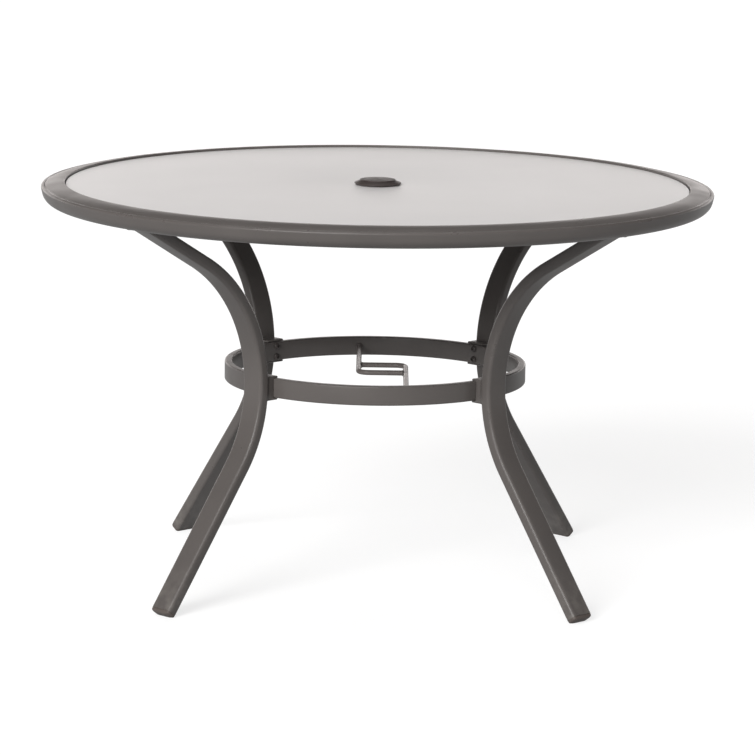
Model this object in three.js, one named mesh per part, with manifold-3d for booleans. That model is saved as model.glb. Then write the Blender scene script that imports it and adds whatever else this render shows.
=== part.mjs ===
// Round patio table for an umbrella, in millimetres, +Z up.
// The origin is on the floor, on the axis of the umbrella hole. The front of the table faces -Y.
import * as THREE from "three";
import { mergeVertices } from "three/addons/utils/BufferGeometryUtils.js";
import Module from "manifold-3d";

const wasm = await Module();
wasm.setup();

// Overall sizes
const tableRadius = 609.6;
const tableHeight = 727;

// Clearances and the overrun of every cut
const seatGap = 0.3;
const overrun = 6;

// Rim: a rolled hollow extrusion with a crowned top, a groove and a bead round its edge, and a
// side that rounds in under it
const rimTopWidth = 43;
const rimHeight = 36.3;
const rimWall = 2;
const rimLipRadius = 1.2;
const crownFall = 6.2;
const grooveWidth = 1.8;
const grooveDepth = 0.9;
const beadRadius = 4.4;
const beadLand = 1.2;
const rimLean = 1.7;
const rimBottomRadius = 20.5;
const ledgeReach = 15;
const ledgeThickness = 2;

// Glass and the vinyl gasket that it lies in
const glassDrop = 4;
const glassThickness = 5;
const glassEdge = 1;
const glassHoleClearance = 0.7;
const gasketBase = 1.6;
const gasketWall = 1.4;
const gasketBelowGlass = 1.2;

// Umbrella ring, which lines the hole, and the cap that closes it
const ringBoreRadius = 26;
const ringWall = 1.8;
const ringFlangeWidth = 14.7;
const ringUndercut = 3.2;
const ringSideHeight = 4.4;
const ringSideRadius = 1;
const ringRise = 3.4;
const ringSkirtBelowGlass = 14;
const capLap = 6.6;
const capEdge = 2.2;
const capEdgeRadius = 0.9;
const capDome = 1.1;
const capWall = 2;
const capPlugClearance = 0.6;
const capPlugLength = 11;

// Legs: a flat tube that bends in to its waist and out again, with a straight stretch at each end
const legWidth = 47;
const legDepth = 21;
const legCornerRadius = 6;
const legCrown = 0.9;
const legWall = 1.6;
const waistHeight = 387.5;
const footInset = 93.1;
const footLift = 9;
const footStraight = 290;
const legTopInset = 57;
const topStraight = 136;

// Glides: plastic plugs in the leg ends, worn flat where they stand
const glideInset = 1;
const glideRadius = 5;
const glideWearDepth = 1.3;
const glidePlugLength = 16;
const glidePlugClearance = 0.6;

// Plates welded to the leg tops, and the screws that hold them to the rim
const plateThickness = 2.5;
const plateMargin = 6;
const plateWeldLand = 5;
const plateCornerRadius = 7;
const plateScrewInset = 5.4;
const plateScrewSpacing = 64;
const screwShankRadius = 2.5;
const screwHeadRadius = 4.8;
const screwHeadHeight = 1.1;
const screwReach = 5;
const screwSlotWidth = 1.2;
const screwSlotDepth = 0.6;
const screwClearance = 0.35;

// Stretcher: a rectangular tube rolled into a full circle, which ties the legs at their waists
const stretcherRadius = 275;
const stretcherThickness = 14;
const stretcherHeight = 35;
const stretcherCornerRadius = 3;
const stretcherWall = 1.6;
const stretcherDrop = 5.5;

// Saddles: shaped brackets between the legs and the stretcher
const saddleWidth = 40;
const saddleWeb = 12.4;
const saddleLip = 3.9;
const saddleGrip = 10;
const saddleWrap = 2;
const saddleCornerRadius = 2.6;
const saddleEdge = 1.2;

// Bolts through stretcher and saddle into inserts in the legs
const boltShankRadius = 4;
const boltHeadRadius = 6.6;
const boltHeadHeight = 4.2;
const boltSocketWidth = 5;
const boltSocketDepth = 2.4;
const boltSpacing = 20.5;
const boltClearance = 0.4;
const boltReach = 11;
const insertRadius = 5.8;
const insertLength = 13;
const insertSink = 0.8;

// Guide rods: two bent rods across the stretcher that box in the umbrella pole
const rodRadius = 4.75;
const rodBendRadius = 15;
const rodLeft = -30;
const rodRight = 56;
const rodFront = -32;
const rodBack = 50;

// How finely round things are cut
const roundSegments = 56;
const smallSegments = 24;
const fastenerSegments = 8;
const bendSteps = { lower: 7, upper: 7, rod: 5 };

// Directions of the four legs round the table's axis
const legPlaces = [
  { side: "front_right", turn: -Math.PI / 4 },
  { side: "back_right", turn: Math.PI / 4 },
  { side: "back_left", turn: (3 * Math.PI) / 4 },
  { side: "front_left", turn: (-3 * Math.PI) / 4 },
];

// Sizes that follow from the ones above
const lipRadius = tableRadius - rimTopWidth;
const rimBottom = tableHeight - rimHeight;
const glassTop = tableHeight - glassDrop;
const glassBottom = glassTop - glassThickness;
const glassRadius = lipRadius - gasketWall - 2 * seatGap;
const ledgeTop = glassBottom - gasketBase;
const skirtRadius = ringBoreRadius + ringWall;
const glassHoleRadius = skirtRadius + glassHoleClearance;
const ringFlangeRadius = skirtRadius + ringFlangeWidth;
const capRadius = ringBoreRadius + capLap;
const flangeTop = glassTop + ringSideHeight + ringRise;
const stretcherInner = stretcherRadius - stretcherThickness;
const stretcherMiddle = waistHeight - stretcherDrop;
const boltSeat = stretcherInner - boltHeadRadius ** 2 / (2 * stretcherInner) - seatGap;
const legInnerFace = stretcherRadius + saddleWeb + 2 * seatGap;
const waistRadius = legInnerFace + legDepth / 2;
const saddleHeight = stretcherHeight + 2 * seatGap + 2 * saddleLip;
const plateTop = rimBottom;
const plateBottom = plateTop - plateThickness;
const legTopRadius = tableRadius - legTopInset;
const footRadius = tableRadius - footInset;
const plateScrewRadius = lipRadius + plateScrewInset;

// A bend that starts upright and ends in a straight stretch, and that covers a given run and rise
function bendFor(run, rise, straight) {
  const angle = 2 * Math.atan(run / (rise + straight));
  return { angle, radius: (rise - straight * Math.cos(angle)) / Math.sin(angle) };
}

const lowerBend = bendFor(footRadius - waistRadius, waistHeight - footLift, footStraight);
const upperBend = bendFor(legTopRadius - waistRadius, plateBottom - waistHeight, topStraight);

// Finishes
function frameFinish() {
  return new THREE.MeshStandardMaterial({ color: 0x625c5a, roughness: 0.42, metalness: 0.35 });
}

function plasticFinish() {
  return new THREE.MeshStandardMaterial({ color: 0x352e2d, roughness: 0.5, metalness: 0 });
}

function glassFinish() {
  return new THREE.MeshStandardMaterial({ color: 0xdcdad8, roughness: 0.35, metalness: 0 });
}

function gasketFinish() {
  return new THREE.MeshStandardMaterial({ color: 0x8d8a88, roughness: 0.7, metalness: 0 });
}

function fastenerFinish() {
  return new THREE.MeshStandardMaterial({ color: 0x4c4543, roughness: 0.4, metalness: 0.6 });
}

function insertFinish() {
  return new THREE.MeshStandardMaterial({ color: 0xb8b4ae, roughness: 0.35, metalness: 0.9 });
}

// Turns a closed geometry into a solid that can be joined and cut
function solidOf(geometry) {
  const bare = geometry.clone();
  bare.deleteAttribute("normal");
  bare.deleteAttribute("uv");
  const merged = mergeVertices(bare);
  return new wasm.Manifold(
    new wasm.Mesh({
      numProp: 3,
      vertProperties: merged.getAttribute("position").array,
      triVerts: new Uint32Array(merged.getIndex().array),
    }),
  );
}

// Turns a solid back into a geometry
function geometryOf(solid) {
  const mesh = solid.getMesh();
  const geometry = new THREE.BufferGeometry();
  geometry.setAttribute("position", new THREE.BufferAttribute(mesh.vertProperties, 3));
  geometry.setIndex(new THREE.BufferAttribute(mesh.triVerts, 1));
  geometry.computeVertexNormals();
  return geometry;
}

// Cuts any number of geometries out of one
function cut(geometry, tools) {
  return geometryOf(tools.reduce((left, tool) => left.subtract(solidOf(tool)), solidOf(geometry)));
}

function piece(name, geometry, material) {
  const mesh = new THREE.Mesh(geometry, material);
  mesh.name = name;
  return mesh;
}

// Points of an arc from one angle to another, both ends included
function arc(x, y, radius, from, to, steps) {
  return Array.from({ length: steps + 1 }, (_, i) => {
    const angle = from + ((to - from) * i) / steps;
    return new THREE.Vector2(x + radius * Math.cos(angle), y + radius * Math.sin(angle));
  });
}

// Turns a profile of (radius, height) points round the upright axis. A closed profile runs
// anticlockwise and gets its first point again at its end.
function revolve(points, segments, closed = true) {
  const profile = closed ? [...points, points[0].clone()] : points;
  return new THREE.LatheGeometry(profile, segments).rotateX(Math.PI / 2);
}

// A rectangle with rounded corners round the origin
function roundedRectangle(width, height, radius, steps) {
  const x = width / 2 - radius;
  const y = height / 2 - radius;
  const quarter = Math.PI / 2;
  return [
    ...arc(x, y, radius, 0, quarter, steps),
    ...arc(-x, y, radius, quarter, 2 * quarter, steps),
    ...arc(-x, -y, radius, 2 * quarter, 3 * quarter, steps),
    ...arc(x, -y, radius, 3 * quarter, 4 * quarter, steps),
  ];
}

function pointAt(x, y) {
  return new THREE.Vector2(x, y);
}

// A centreline of straights and bends, known by its stations, each a point and a direction
class BentCentreline extends THREE.Curve {
  constructor(stations) {
    super();
    this.stations = stations;
  }

  mix(share, key) {
    const place = share * (this.stations.length - 1);
    const low = Math.min(Math.floor(place), this.stations.length - 2);
    return this.stations[low][key].clone().lerp(this.stations[low + 1][key], place - low);
  }

  getPoint(share) {
    return this.mix(share, "point");
  }

  getPointAt(share) {
    return this.mix(share, "point");
  }

  getTangentAt(share) {
    return this.mix(share, "direction").normalize();
  }
}

// Carries a section along a centreline, one ring of points at each station
function sweep(section, stations) {
  return new THREE.ExtrudeGeometry(new THREE.Shape(section), {
    extrudePath: new BentCentreline(stations),
    steps: stations.length - 1,
  });
}

// A station of a leg, in the upright plane through the table's axis
function legStation(radius, height, lean) {
  return {
    point: new THREE.Vector3(radius, 0, height),
    direction: new THREE.Vector3(Math.sin(lean), 0, Math.cos(lean)),
  };
}

// A place on the lower bend of a leg, at an angle below the waist
function onLowerBend(angle) {
  return legStation(
    waistRadius + lowerBend.radius * (1 - Math.cos(angle)),
    waistHeight - lowerBend.radius * Math.sin(angle),
    -angle,
  );
}

// A place on the upper bend of a leg, at an angle above the waist
function onUpperBend(angle) {
  return legStation(
    waistRadius + upperBend.radius * (1 - Math.cos(angle)),
    waistHeight + upperBend.radius * Math.sin(angle),
    angle,
  );
}

// Stations of a leg from its foot up, run on past each end by an extra length
function legStations(pastFoot, pastTop) {
  const lowest = legStation(
    footRadius + pastFoot * Math.sin(lowerBend.angle),
    footLift - pastFoot * Math.cos(lowerBend.angle),
    -lowerBend.angle,
  );
  const lower = Array.from({ length: bendSteps.lower }, (_, i) =>
    onLowerBend(lowerBend.angle * (1 - i / bendSteps.lower)),
  );
  const upper = Array.from({ length: bendSteps.upper + 1 }, (_, i) =>
    onUpperBend((upperBend.angle * i) / bendSteps.upper),
  );
  const highest = legStation(
    legTopRadius + pastTop * Math.sin(upperBend.angle),
    plateBottom + pastTop * Math.cos(upperBend.angle),
    upperBend.angle,
  );
  return [lowest, ...lower, ...upper, highest];
}

// Outer section of the leg tube, with its outward face slightly crowned
function legSection() {
  const points = roundedRectangle(legWidth, legDepth, legCornerRadius, 2);
  const cornerPoints = 3;
  points.splice(cornerPoints, 0, pointAt(0, legDepth / 2 + legCrown));
  return points;
}

// A round cutter or pin that lies along the radial direction of a leg's own frame
function radialCylinder(radius, from, to, height) {
  const length = to - from;
  return new THREE.CylinderGeometry(radius, radius, length, fastenerSegments)
    .rotateZ(Math.PI / 2)
    .translate(from + length / 2, 0, height);
}

// An upright round cutter
function uprightCylinder(radius, from, to, x, y) {
  const length = to - from;
  return new THREE.CylinderGeometry(radius, radius, length, fastenerSegments)
    .rotateX(Math.PI / 2)
    .translate(x, y, from + length / 2);
}

function boltHeights() {
  return { upper: stretcherMiddle + boltSpacing / 2, lower: stretcherMiddle - boltSpacing / 2 };
}

function screwOffsets() {
  return { a: -plateScrewSpacing / 2, b: plateScrewSpacing / 2 };
}

// How far the leg runs on before its top is cut level, so that the whole section is there
const legTrim = legDepth * Math.tan(upperBend.angle);

// One leg tube, open at both ends, with the holes for its two inserts
function legGeometry() {
  const cavity = roundedRectangle(legWidth - 2 * legWall, legDepth - 2 * legWall, legCornerRadius - legWall, 1);
  const trim = new THREE.BoxGeometry(2 * tableRadius, 2 * legWidth, 2 * legWidth);
  trim.translate(tableRadius, 0, plateBottom + legWidth);
  const holes = Object.values(boltHeights()).map((height) =>
    radialCylinder(insertRadius + seatGap, legInnerFace - overrun, waistRadius, height),
  );
  return cut(sweep(legSection(), legStations(0, legTrim)), [
    sweep(cavity, legStations(overrun, legTrim + overrun)),
    trim,
    ...holes,
  ]);
}

// Thickness of a glide's cap, which brings its rounded edge just below the floor
function glideCapThickness() {
  const outerEdge = legDepth / 2 - glideInset - glideRadius;
  const drop = footLift + glideWearDepth - glideRadius - outerEdge * Math.sin(lowerBend.angle);
  return glideRadius + drop / Math.cos(lowerBend.angle);
}

// An outline of the glide at a depth below the leg's cut end
function glideRing(width, height, radius, depth) {
  return roundedRectangle(width, height, radius, 2).map((p) => new THREE.Vector3(p.x, p.y, -depth));
}

// A closed loft through outlines that all have the same number of points
function loft(rings) {
  const count = rings[0].length;
  const positions = rings.flat().flatMap((p) => [p.x, p.y, p.z]);
  const faces = [];
  for (let ring = 0; ring < rings.length - 1; ring += 1) {
    for (let i = 0; i < count; i += 1) {
      const next = (i + 1) % count;
      const low = ring * count;
      const high = low + count;
      faces.push(low + i, low + next, high + next);
      faces.push(low + i, high + next, high + i);
    }
  }
  const last = (rings.length - 1) * count;
  for (let i = 1; i < count - 1; i += 1) {
    faces.push(0, i + 1, i);
    faces.push(last, last + i, last + i + 1);
  }
  const geometry = new THREE.BufferGeometry();
  geometry.setAttribute("position", new THREE.Float32BufferAttribute(positions, 3));
  geometry.setIndex(faces);
  return geometry;
}

// One glide: a plug inside the tube, a cap with rounded edges below it, worn flat at the floor
function glideGeometry() {
  const angle = lowerBend.angle;
  const capWidth = legWidth - 2 * glideInset;
  const capDepth = legDepth - 2 * glideInset;
  const capCorner = legCornerRadius - glideInset / 2;
  const capThickness = glideCapThickness();
  const plugMargin = legWall + glidePlugClearance;
  const plugWidth = legWidth - 2 * plugMargin;
  const plugDepth = legDepth - 2 * plugMargin;
  const capRings = arc(0, 0, glideRadius, Math.PI / 2, 0, 2).map((p) => {
    const shrink = 2 * (glideRadius - p.x);
    return glideRing(capWidth - shrink, capDepth - shrink, capCorner, capThickness - glideRadius + p.y);
  });
  const solid = loft([
    ...capRings,
    glideRing(capWidth, capDepth, capCorner, seatGap),
    glideRing(plugWidth, plugDepth, legCornerRadius, seatGap),
    glideRing(plugWidth, plugDepth, legCornerRadius, -glidePlugLength),
  ]);
  // The outlines lie across the leg: X runs sideways, Y outwards and Z up along the leg
  const frame = new THREE.Matrix4().makeBasis(
    new THREE.Vector3(0, -1, 0),
    new THREE.Vector3(Math.cos(angle), 0, Math.sin(angle)),
    new THREE.Vector3(-Math.sin(angle), 0, Math.cos(angle)),
  );
  frame.setPosition(footRadius, 0, footLift);
  solid.applyMatrix4(frame);
  const ground = new THREE.BoxGeometry(2 * legWidth, 2 * legWidth, 2 * legWidth);
  ground.translate(footRadius, 0, -legWidth);
  return cut(solid, [ground]);
}

// The plate on a leg's top, flat against the underside of the rim
function plateGeometry() {
  const legHalf = legDepth / (2 * Math.cos(upperBend.angle));
  const inner = legTopRadius - legHalf - plateWeldLand;
  const outer = plateScrewRadius + plateMargin;
  const width = plateScrewSpacing + 2 * plateMargin;
  const outline = roundedRectangle(outer - inner, width, plateCornerRadius, 2);
  const plate = new THREE.ExtrudeGeometry(new THREE.Shape(outline), {
    depth: plateThickness,
    bevelEnabled: false,
  });
  plate.translate((outer + inner) / 2, 0, plateBottom);
  const holes = Object.values(screwOffsets()).map((offset) =>
    uprightCylinder(
      screwShankRadius + screwClearance,
      plateBottom - overrun,
      plateTop + overrun,
      plateScrewRadius,
      offset,
    ),
  );
  return cut(plate, holes);
}

// A slotted pan head screw, its head under the plate and its shank up into the rim
function plateScrewGeometry() {
  const headTop = plateBottom;
  const tip = rimBottom + rimWall + screwReach;
  const profile = [
    pointAt(0, headTop - screwHeadHeight),
    pointAt(screwHeadRadius - screwHeadHeight / 2, headTop - screwHeadHeight),
    pointAt(screwHeadRadius, headTop - screwHeadHeight / 2),
    pointAt(screwHeadRadius, headTop),
    pointAt(screwShankRadius, headTop),
    pointAt(screwShankRadius, tip - screwShankRadius / 2),
    pointAt(screwShankRadius / 2, tip),
    pointAt(0, tip),
  ];
  const screw = revolve(profile, fastenerSegments, false);
  const slot = new THREE.BoxGeometry(3 * screwHeadRadius, screwSlotWidth, 2 * screwSlotDepth);
  slot.translate(0, 0, headTop - screwHeadHeight);
  return cut(screw, [slot]);
}

// The saddle: a block hollowed out to the leg's inner face and to the stretcher it grips
function saddleGeometry() {
  const mouth = stretcherRadius - saddleGrip;
  const length = legInnerFace + saddleWrap - mouth;
  const outline = roundedRectangle(
    length - 2 * saddleEdge,
    saddleHeight - 2 * saddleEdge,
    saddleCornerRadius - saddleEdge,
    2,
  );
  const block = new THREE.ExtrudeGeometry(new THREE.Shape(outline), {
    depth: saddleWidth - 2 * saddleEdge,
    bevelThickness: saddleEdge,
    bevelSize: saddleEdge,
    bevelSegments: 1,
  });
  block.translate(mouth + length / 2, stretcherMiddle, saddleEdge - saddleWidth / 2);
  block.rotateX(Math.PI / 2);
  const legSpace = roundedRectangle(
    legWidth + 2 * seatGap,
    legDepth + 2 * seatGap,
    legCornerRadius + seatGap,
    2,
  );
  const holes = Object.values(boltHeights()).map((height) =>
    radialCylinder(boltShankRadius + boltClearance, stretcherRadius - overrun, legInnerFace + overrun, height),
  );
  return cut(block, [
    sweep(legSpace, legStations(0, 0)),
    revolve(stretcherOutline(seatGap), roundSegments),
    ...holes,
  ]);
}

// A button head bolt with a hexagon socket, from inside the stretcher out into the leg
function boltGeometry() {
  const crown = boltHeadRadius / 2;
  const length = legInnerFace + boltReach - boltSeat;
  const profile = [
    pointAt(0, -boltHeadHeight),
    pointAt(crown, -boltHeadHeight),
    pointAt((crown + boltHeadRadius) / 2, -boltHeadHeight * (3 / 4)),
    pointAt(boltHeadRadius, -boltHeadHeight / 4),
    pointAt(boltHeadRadius, 0),
    pointAt(boltShankRadius, 0),
    pointAt(boltShankRadius, length),
    pointAt(0, length),
  ];
  const bolt = revolve(profile, fastenerSegments, false);
  const hexagonRadius = boltSocketWidth / Math.sqrt(3);
  const socket = new THREE.CylinderGeometry(hexagonRadius, hexagonRadius, 2 * boltSocketDepth, 6);
  socket.rotateX(Math.PI / 2).translate(0, 0, -boltHeadHeight);
  return cut(bolt, [socket]).rotateY(Math.PI / 2);
}

// The threaded insert set in the leg's inner wall, where a bolt ends
function insertGeometry() {
  const bore = boltShankRadius + seatGap;
  const profile = [
    pointAt(bore, 0),
    pointAt(insertRadius, 0),
    pointAt(insertRadius, insertLength),
    pointAt(bore, insertLength),
  ];
  return revolve(profile, fastenerSegments).rotateY(Math.PI / 2);
}

// The crown of the rim's top, or its underside when it is drawn in by a wall
function rimCrown(inset, steps) {
  const low = pointAt(tableRadius - beadRadius - beadLand - grooveWidth, tableHeight - crownFall);
  const start = lipRadius + rimLipRadius;
  const width = low.x - start;
  const radius = (width ** 2 + crownFall ** 2) / (2 * crownFall);
  const inner = radius - inset;
  const from = Math.PI / 2 - Math.asin(width / radius);
  const to = Math.PI / 2 - (inset ? Math.asin((inset - rimLipRadius) / inner) : 0);
  return arc(start, tableHeight - radius, inner, from, to, steps);
}

// The rim's side: the wide bottom corner, a short straight that touches both arcs, and the bead up
// to an end angle, all drawn in by a wall
function rimSide(inset, end, cornerSteps, beadSteps) {
  const bead = pointAt(tableRadius - beadRadius, tableHeight - crownFall - beadRadius);
  const corner = pointAt(tableRadius - rimLean - rimBottomRadius, rimBottom + rimBottomRadius);
  const between = bead.clone().sub(corner);
  const lean = Math.atan2(between.y, between.x) - Math.acos((rimBottomRadius - beadRadius) / between.length());
  return [
    ...arc(corner.x, corner.y, rimBottomRadius - inset, -Math.PI / 2, lean, cornerSteps),
    ...arc(bead.x, bead.y, beadRadius - inset, lean, end, beadSteps),
  ];
}

// The rim's outline: bottom, rounded side, bead, groove, crowned top, lip, ledge for the glass
function rimProfile() {
  const beadTop = tableHeight - crownFall;
  const beadStart = tableRadius - beadRadius - beadLand;
  return [
    pointAt(lipRadius, rimBottom),
    ...rimSide(0, Math.PI / 2, 4, 3),
    pointAt(beadStart, beadTop),
    pointAt(beadStart - grooveWidth / 2, beadTop - grooveDepth),
    ...rimCrown(0, 3),
    pointAt(lipRadius, tableHeight - rimLipRadius),
    pointAt(lipRadius, ledgeTop),
    pointAt(lipRadius - ledgeReach, ledgeTop),
    pointAt(lipRadius - ledgeReach, ledgeTop - ledgeThickness),
    pointAt(lipRadius, ledgeTop - ledgeThickness),
  ];
}

// The hollow inside the rim, which follows its walls
function rimHollow() {
  return [
    pointAt(lipRadius + rimWall, rimBottom + rimWall),
    ...rimSide(rimWall, Math.PI / 4, 2, 1),
    ...rimCrown(rimWall, 1),
  ];
}

function rimGeometry() {
  const screwHoles = legPlaces.flatMap((place) =>
    Object.values(screwOffsets()).map((offset) =>
      uprightCylinder(
        screwShankRadius + screwClearance,
        rimBottom - overrun,
        rimBottom + rimWall + overrun,
        plateScrewRadius,
        offset,
      ).rotateZ(place.turn),
    ),
  );
  return cut(revolve(rimProfile(), roundSegments), [revolve(rimHollow(), roundSegments), ...screwHoles]);
}

// The glass disc, its upper edges ground off, with the umbrella hole in its middle
function glassGeometry() {
  return revolve(
    [
      pointAt(glassHoleRadius, glassBottom),
      pointAt(glassRadius, glassBottom),
      pointAt(glassRadius, glassTop - glassEdge),
      pointAt(glassRadius - glassEdge, glassTop),
      pointAt(glassHoleRadius + glassEdge, glassTop),
      pointAt(glassHoleRadius, glassTop - glassEdge),
    ],
    roundSegments,
  );
}

// The gasket: a flat base under the glass and a thin wall round its edge
function gasketGeometry() {
  const outer = lipRadius - seatGap;
  const wallInner = outer - gasketWall;
  return revolve(
    [
      pointAt(lipRadius - ledgeReach, ledgeTop),
      pointAt(outer, ledgeTop),
      pointAt(outer, glassTop - gasketBelowGlass),
      pointAt(wallInner, glassTop - gasketBelowGlass),
      pointAt(wallInner, glassBottom),
      pointAt(lipRadius - ledgeReach, glassBottom),
    ],
    roundSegments,
  );
}

// The umbrella ring: a sloping flange on the glass, drawn in under its edge, and a skirt down
// through the glass's hole
function umbrellaRingGeometry() {
  const skirtBottom = glassBottom - ringSkirtBelowGlass;
  const seatOuter = capRadius + seatGap;
  return revolve(
    [
      pointAt(ringBoreRadius, skirtBottom),
      pointAt(skirtRadius, skirtBottom),
      pointAt(skirtRadius, glassTop),
      pointAt(ringFlangeRadius - ringUndercut, glassTop),
      pointAt(ringFlangeRadius, glassTop + ringUndercut),
      pointAt(ringFlangeRadius, glassTop + ringSideHeight - ringSideRadius),
      pointAt(ringFlangeRadius - ringSideRadius, glassTop + ringSideHeight),
      pointAt(seatOuter, flangeTop),
      pointAt(ringBoreRadius + ringWall / 2, flangeTop),
      pointAt(ringBoreRadius, flangeTop - ringWall / 2),
    ],
    smallSegments,
  );
}

// The cap: a low dome on the ring's flange, with a hollow plug that drops into the bore
function umbrellaCapGeometry() {
  const plugOuter = ringBoreRadius - capPlugClearance;
  const edgeTop = flangeTop + capEdge;
  const domeFoot = capRadius - capEdgeRadius;
  return revolve(
    [
      pointAt(0, flangeTop),
      pointAt(plugOuter - capWall, flangeTop),
      pointAt(plugOuter - capWall, flangeTop - capPlugLength),
      pointAt(plugOuter, flangeTop - capPlugLength),
      pointAt(plugOuter, flangeTop),
      pointAt(capRadius, flangeTop),
      pointAt(capRadius, edgeTop - capEdgeRadius),
      pointAt(domeFoot, edgeTop),
      pointAt(domeFoot * (2 / 3), edgeTop + capDome * (2 / 3)),
      pointAt(domeFoot / 3, edgeTop + capDome),
      pointAt(0, edgeTop + capDome),
    ],
    smallSegments,
    false,
  );
}

// Outline of the stretcher's tube, grown by a clearance all round
function stretcherOutline(clearance) {
  const middle = stretcherRadius - stretcherThickness / 2;
  return roundedRectangle(
    stretcherThickness + 2 * clearance,
    stretcherHeight + 2 * clearance,
    stretcherCornerRadius + clearance,
    1,
  ).map((p) => pointAt(p.x + middle, p.y + stretcherMiddle));
}

// The space inside the stretcher's tube
function stretcherHollow() {
  const inner = stretcherInner + stretcherWall;
  const outer = stretcherRadius - stretcherWall;
  const half = stretcherHeight / 2 - stretcherWall;
  return [
    pointAt(inner, stretcherMiddle - half),
    pointAt(outer, stretcherMiddle - half),
    pointAt(outer, stretcherMiddle + half),
    pointAt(inner, stretcherMiddle + half),
  ];
}

// The stretcher ring with the holes of its eight bolts
function stretcherGeometry() {
  const holes = legPlaces.flatMap((place) =>
    Object.values(boltHeights()).map((height) =>
      radialCylinder(
        boltShankRadius + boltClearance,
        stretcherInner - overrun,
        stretcherRadius + overrun,
        height,
      ).rotateZ(place.turn),
    ),
  );
  return cut(revolve(stretcherOutline(0), roundSegments), [
    revolve(stretcherHollow(), roundSegments),
    ...holes,
  ]);
}

// A station of a guide rod, which lies level
function rodStation(x, y, turn) {
  return {
    point: new THREE.Vector3(x, y, stretcherMiddle),
    direction: new THREE.Vector3(Math.cos(turn), Math.sin(turn), 0),
  };
}

// A guide rod: in from the back of the stretcher along one X, round a bend at one Y, and across
// to the side of the other rod
function rodGeometry(x, y, otherX) {
  const quarter = Math.PI / 2;
  const bend = Array.from({ length: bendSteps.rod + 1 }, (_, i) => {
    const turn = -quarter * (1 - i / bendSteps.rod);
    return rodStation(
      x + rodBendRadius * (1 - Math.cos(turn + quarter)),
      y + rodBendRadius * (1 - Math.sin(turn + quarter)),
      turn,
    );
  });
  return sweep(arc(0, 0, rodRadius, 0, 2 * Math.PI, 8).slice(1), [
    rodStation(x, stretcherRadius, -quarter),
    ...bend,
    rodStation(otherX - rodRadius - seatGap, y, 0),
  ]);
}

// What a rod end is cut back to, so that it meets the stretcher's inner face
function stretcherCutter() {
  const half = stretcherHeight / 2;
  const outer = stretcherRadius + rodRight;
  return revolve(
    [
      pointAt(stretcherInner - seatGap, stretcherMiddle - half),
      pointAt(outer, stretcherMiddle - half),
      pointAt(outer, stretcherMiddle + half),
      pointAt(stretcherInner - seatGap, stretcherMiddle + half),
    ],
    roundSegments,
  );
}

// The rod from the back, and the same kind of rod turned round to come from the front
function buildRods() {
  const group = new THREE.Group();
  const back = cut(rodGeometry(rodLeft, rodFront, rodRight), [stretcherCutter()]);
  const front = cut(rodGeometry(-rodRight, -rodBack, -rodLeft).rotateZ(Math.PI), [stretcherCutter()]);
  group.add(piece("guide_rod_back", back, frameFinish()));
  group.add(piece("guide_rod_front", front, frameFinish()));
  return group;
}

// Everything that belongs to one leg, in a frame whose X runs outwards along the leg's direction
function buildLeg(place) {
  const group = new THREE.Group();
  group.rotation.z = place.turn;
  group.add(piece("leg_" + place.side, legGeometry(), frameFinish()));
  group.add(piece("glide_" + place.side, glideGeometry(), plasticFinish()));
  group.add(piece("top_plate_" + place.side, plateGeometry(), frameFinish()));
  group.add(piece("saddle_" + place.side, saddleGeometry(), frameFinish()));
  for (const [key, offset] of Object.entries(screwOffsets())) {
    const screw = piece("plate_screw_" + place.side + "_" + key, plateScrewGeometry(), fastenerFinish());
    screw.position.set(plateScrewRadius, offset, 0);
    group.add(screw);
  }
  for (const [key, height] of Object.entries(boltHeights())) {
    const bolt = piece("bolt_" + place.side + "_" + key, boltGeometry(), fastenerFinish());
    bolt.position.set(boltSeat, 0, height);
    group.add(bolt);
    const insert = piece("insert_" + place.side + "_" + key, insertGeometry(), insertFinish());
    insert.position.set(legInnerFace + insertSink, 0, height);
    group.add(insert);
  }
  return group;
}

function buildTop() {
  const group = new THREE.Group();
  group.add(piece("top_rim", rimGeometry(), frameFinish()));
  group.add(piece("glass_gasket", gasketGeometry(), gasketFinish()));
  group.add(piece("glass_top", glassGeometry(), glassFinish()));
  group.add(piece("umbrella_ring", umbrellaRingGeometry(), plasticFinish()));
  group.add(piece("umbrella_cap", umbrellaCapGeometry(), plasticFinish()));
  return group;
}

const table = new THREE.Group();
table.name = "umbrella_table";
table.add(buildTop());
table.add(piece("stretcher_ring", stretcherGeometry(), frameFinish()));
table.add(buildRods());
legPlaces.forEach((place) => table.add(buildLeg(place)));

export default table;
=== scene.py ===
"""Dresses the round umbrella table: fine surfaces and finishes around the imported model.

Every length is in metres, in the table's own frame: the floor is Z = 0, the umbrella hole's
axis is X = Y = 0 and the front of the table faces -Y.
"""

import logging
import math
from dataclasses import dataclass
from enum import Enum
from typing import Sequence

import bmesh
import bpy
import numpy as np
from mathutils import Matrix, Vector


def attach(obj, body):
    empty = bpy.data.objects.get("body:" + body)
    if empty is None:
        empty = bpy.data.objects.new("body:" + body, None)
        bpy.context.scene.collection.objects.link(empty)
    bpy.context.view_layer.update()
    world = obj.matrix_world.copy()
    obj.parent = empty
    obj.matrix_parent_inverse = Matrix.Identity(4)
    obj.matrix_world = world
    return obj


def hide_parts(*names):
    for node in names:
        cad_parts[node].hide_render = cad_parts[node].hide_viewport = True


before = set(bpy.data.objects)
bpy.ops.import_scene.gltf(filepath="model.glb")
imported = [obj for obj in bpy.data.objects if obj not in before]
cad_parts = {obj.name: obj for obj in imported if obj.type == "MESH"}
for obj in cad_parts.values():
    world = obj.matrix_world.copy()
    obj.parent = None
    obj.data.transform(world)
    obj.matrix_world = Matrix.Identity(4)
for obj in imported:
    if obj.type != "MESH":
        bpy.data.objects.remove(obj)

LOG = logging.getLogger("umbrella_table")
MM = 0.001
TURN = 2.0 * math.pi
TINY = 1e-9  # keeps a division by nothing from failing
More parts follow.
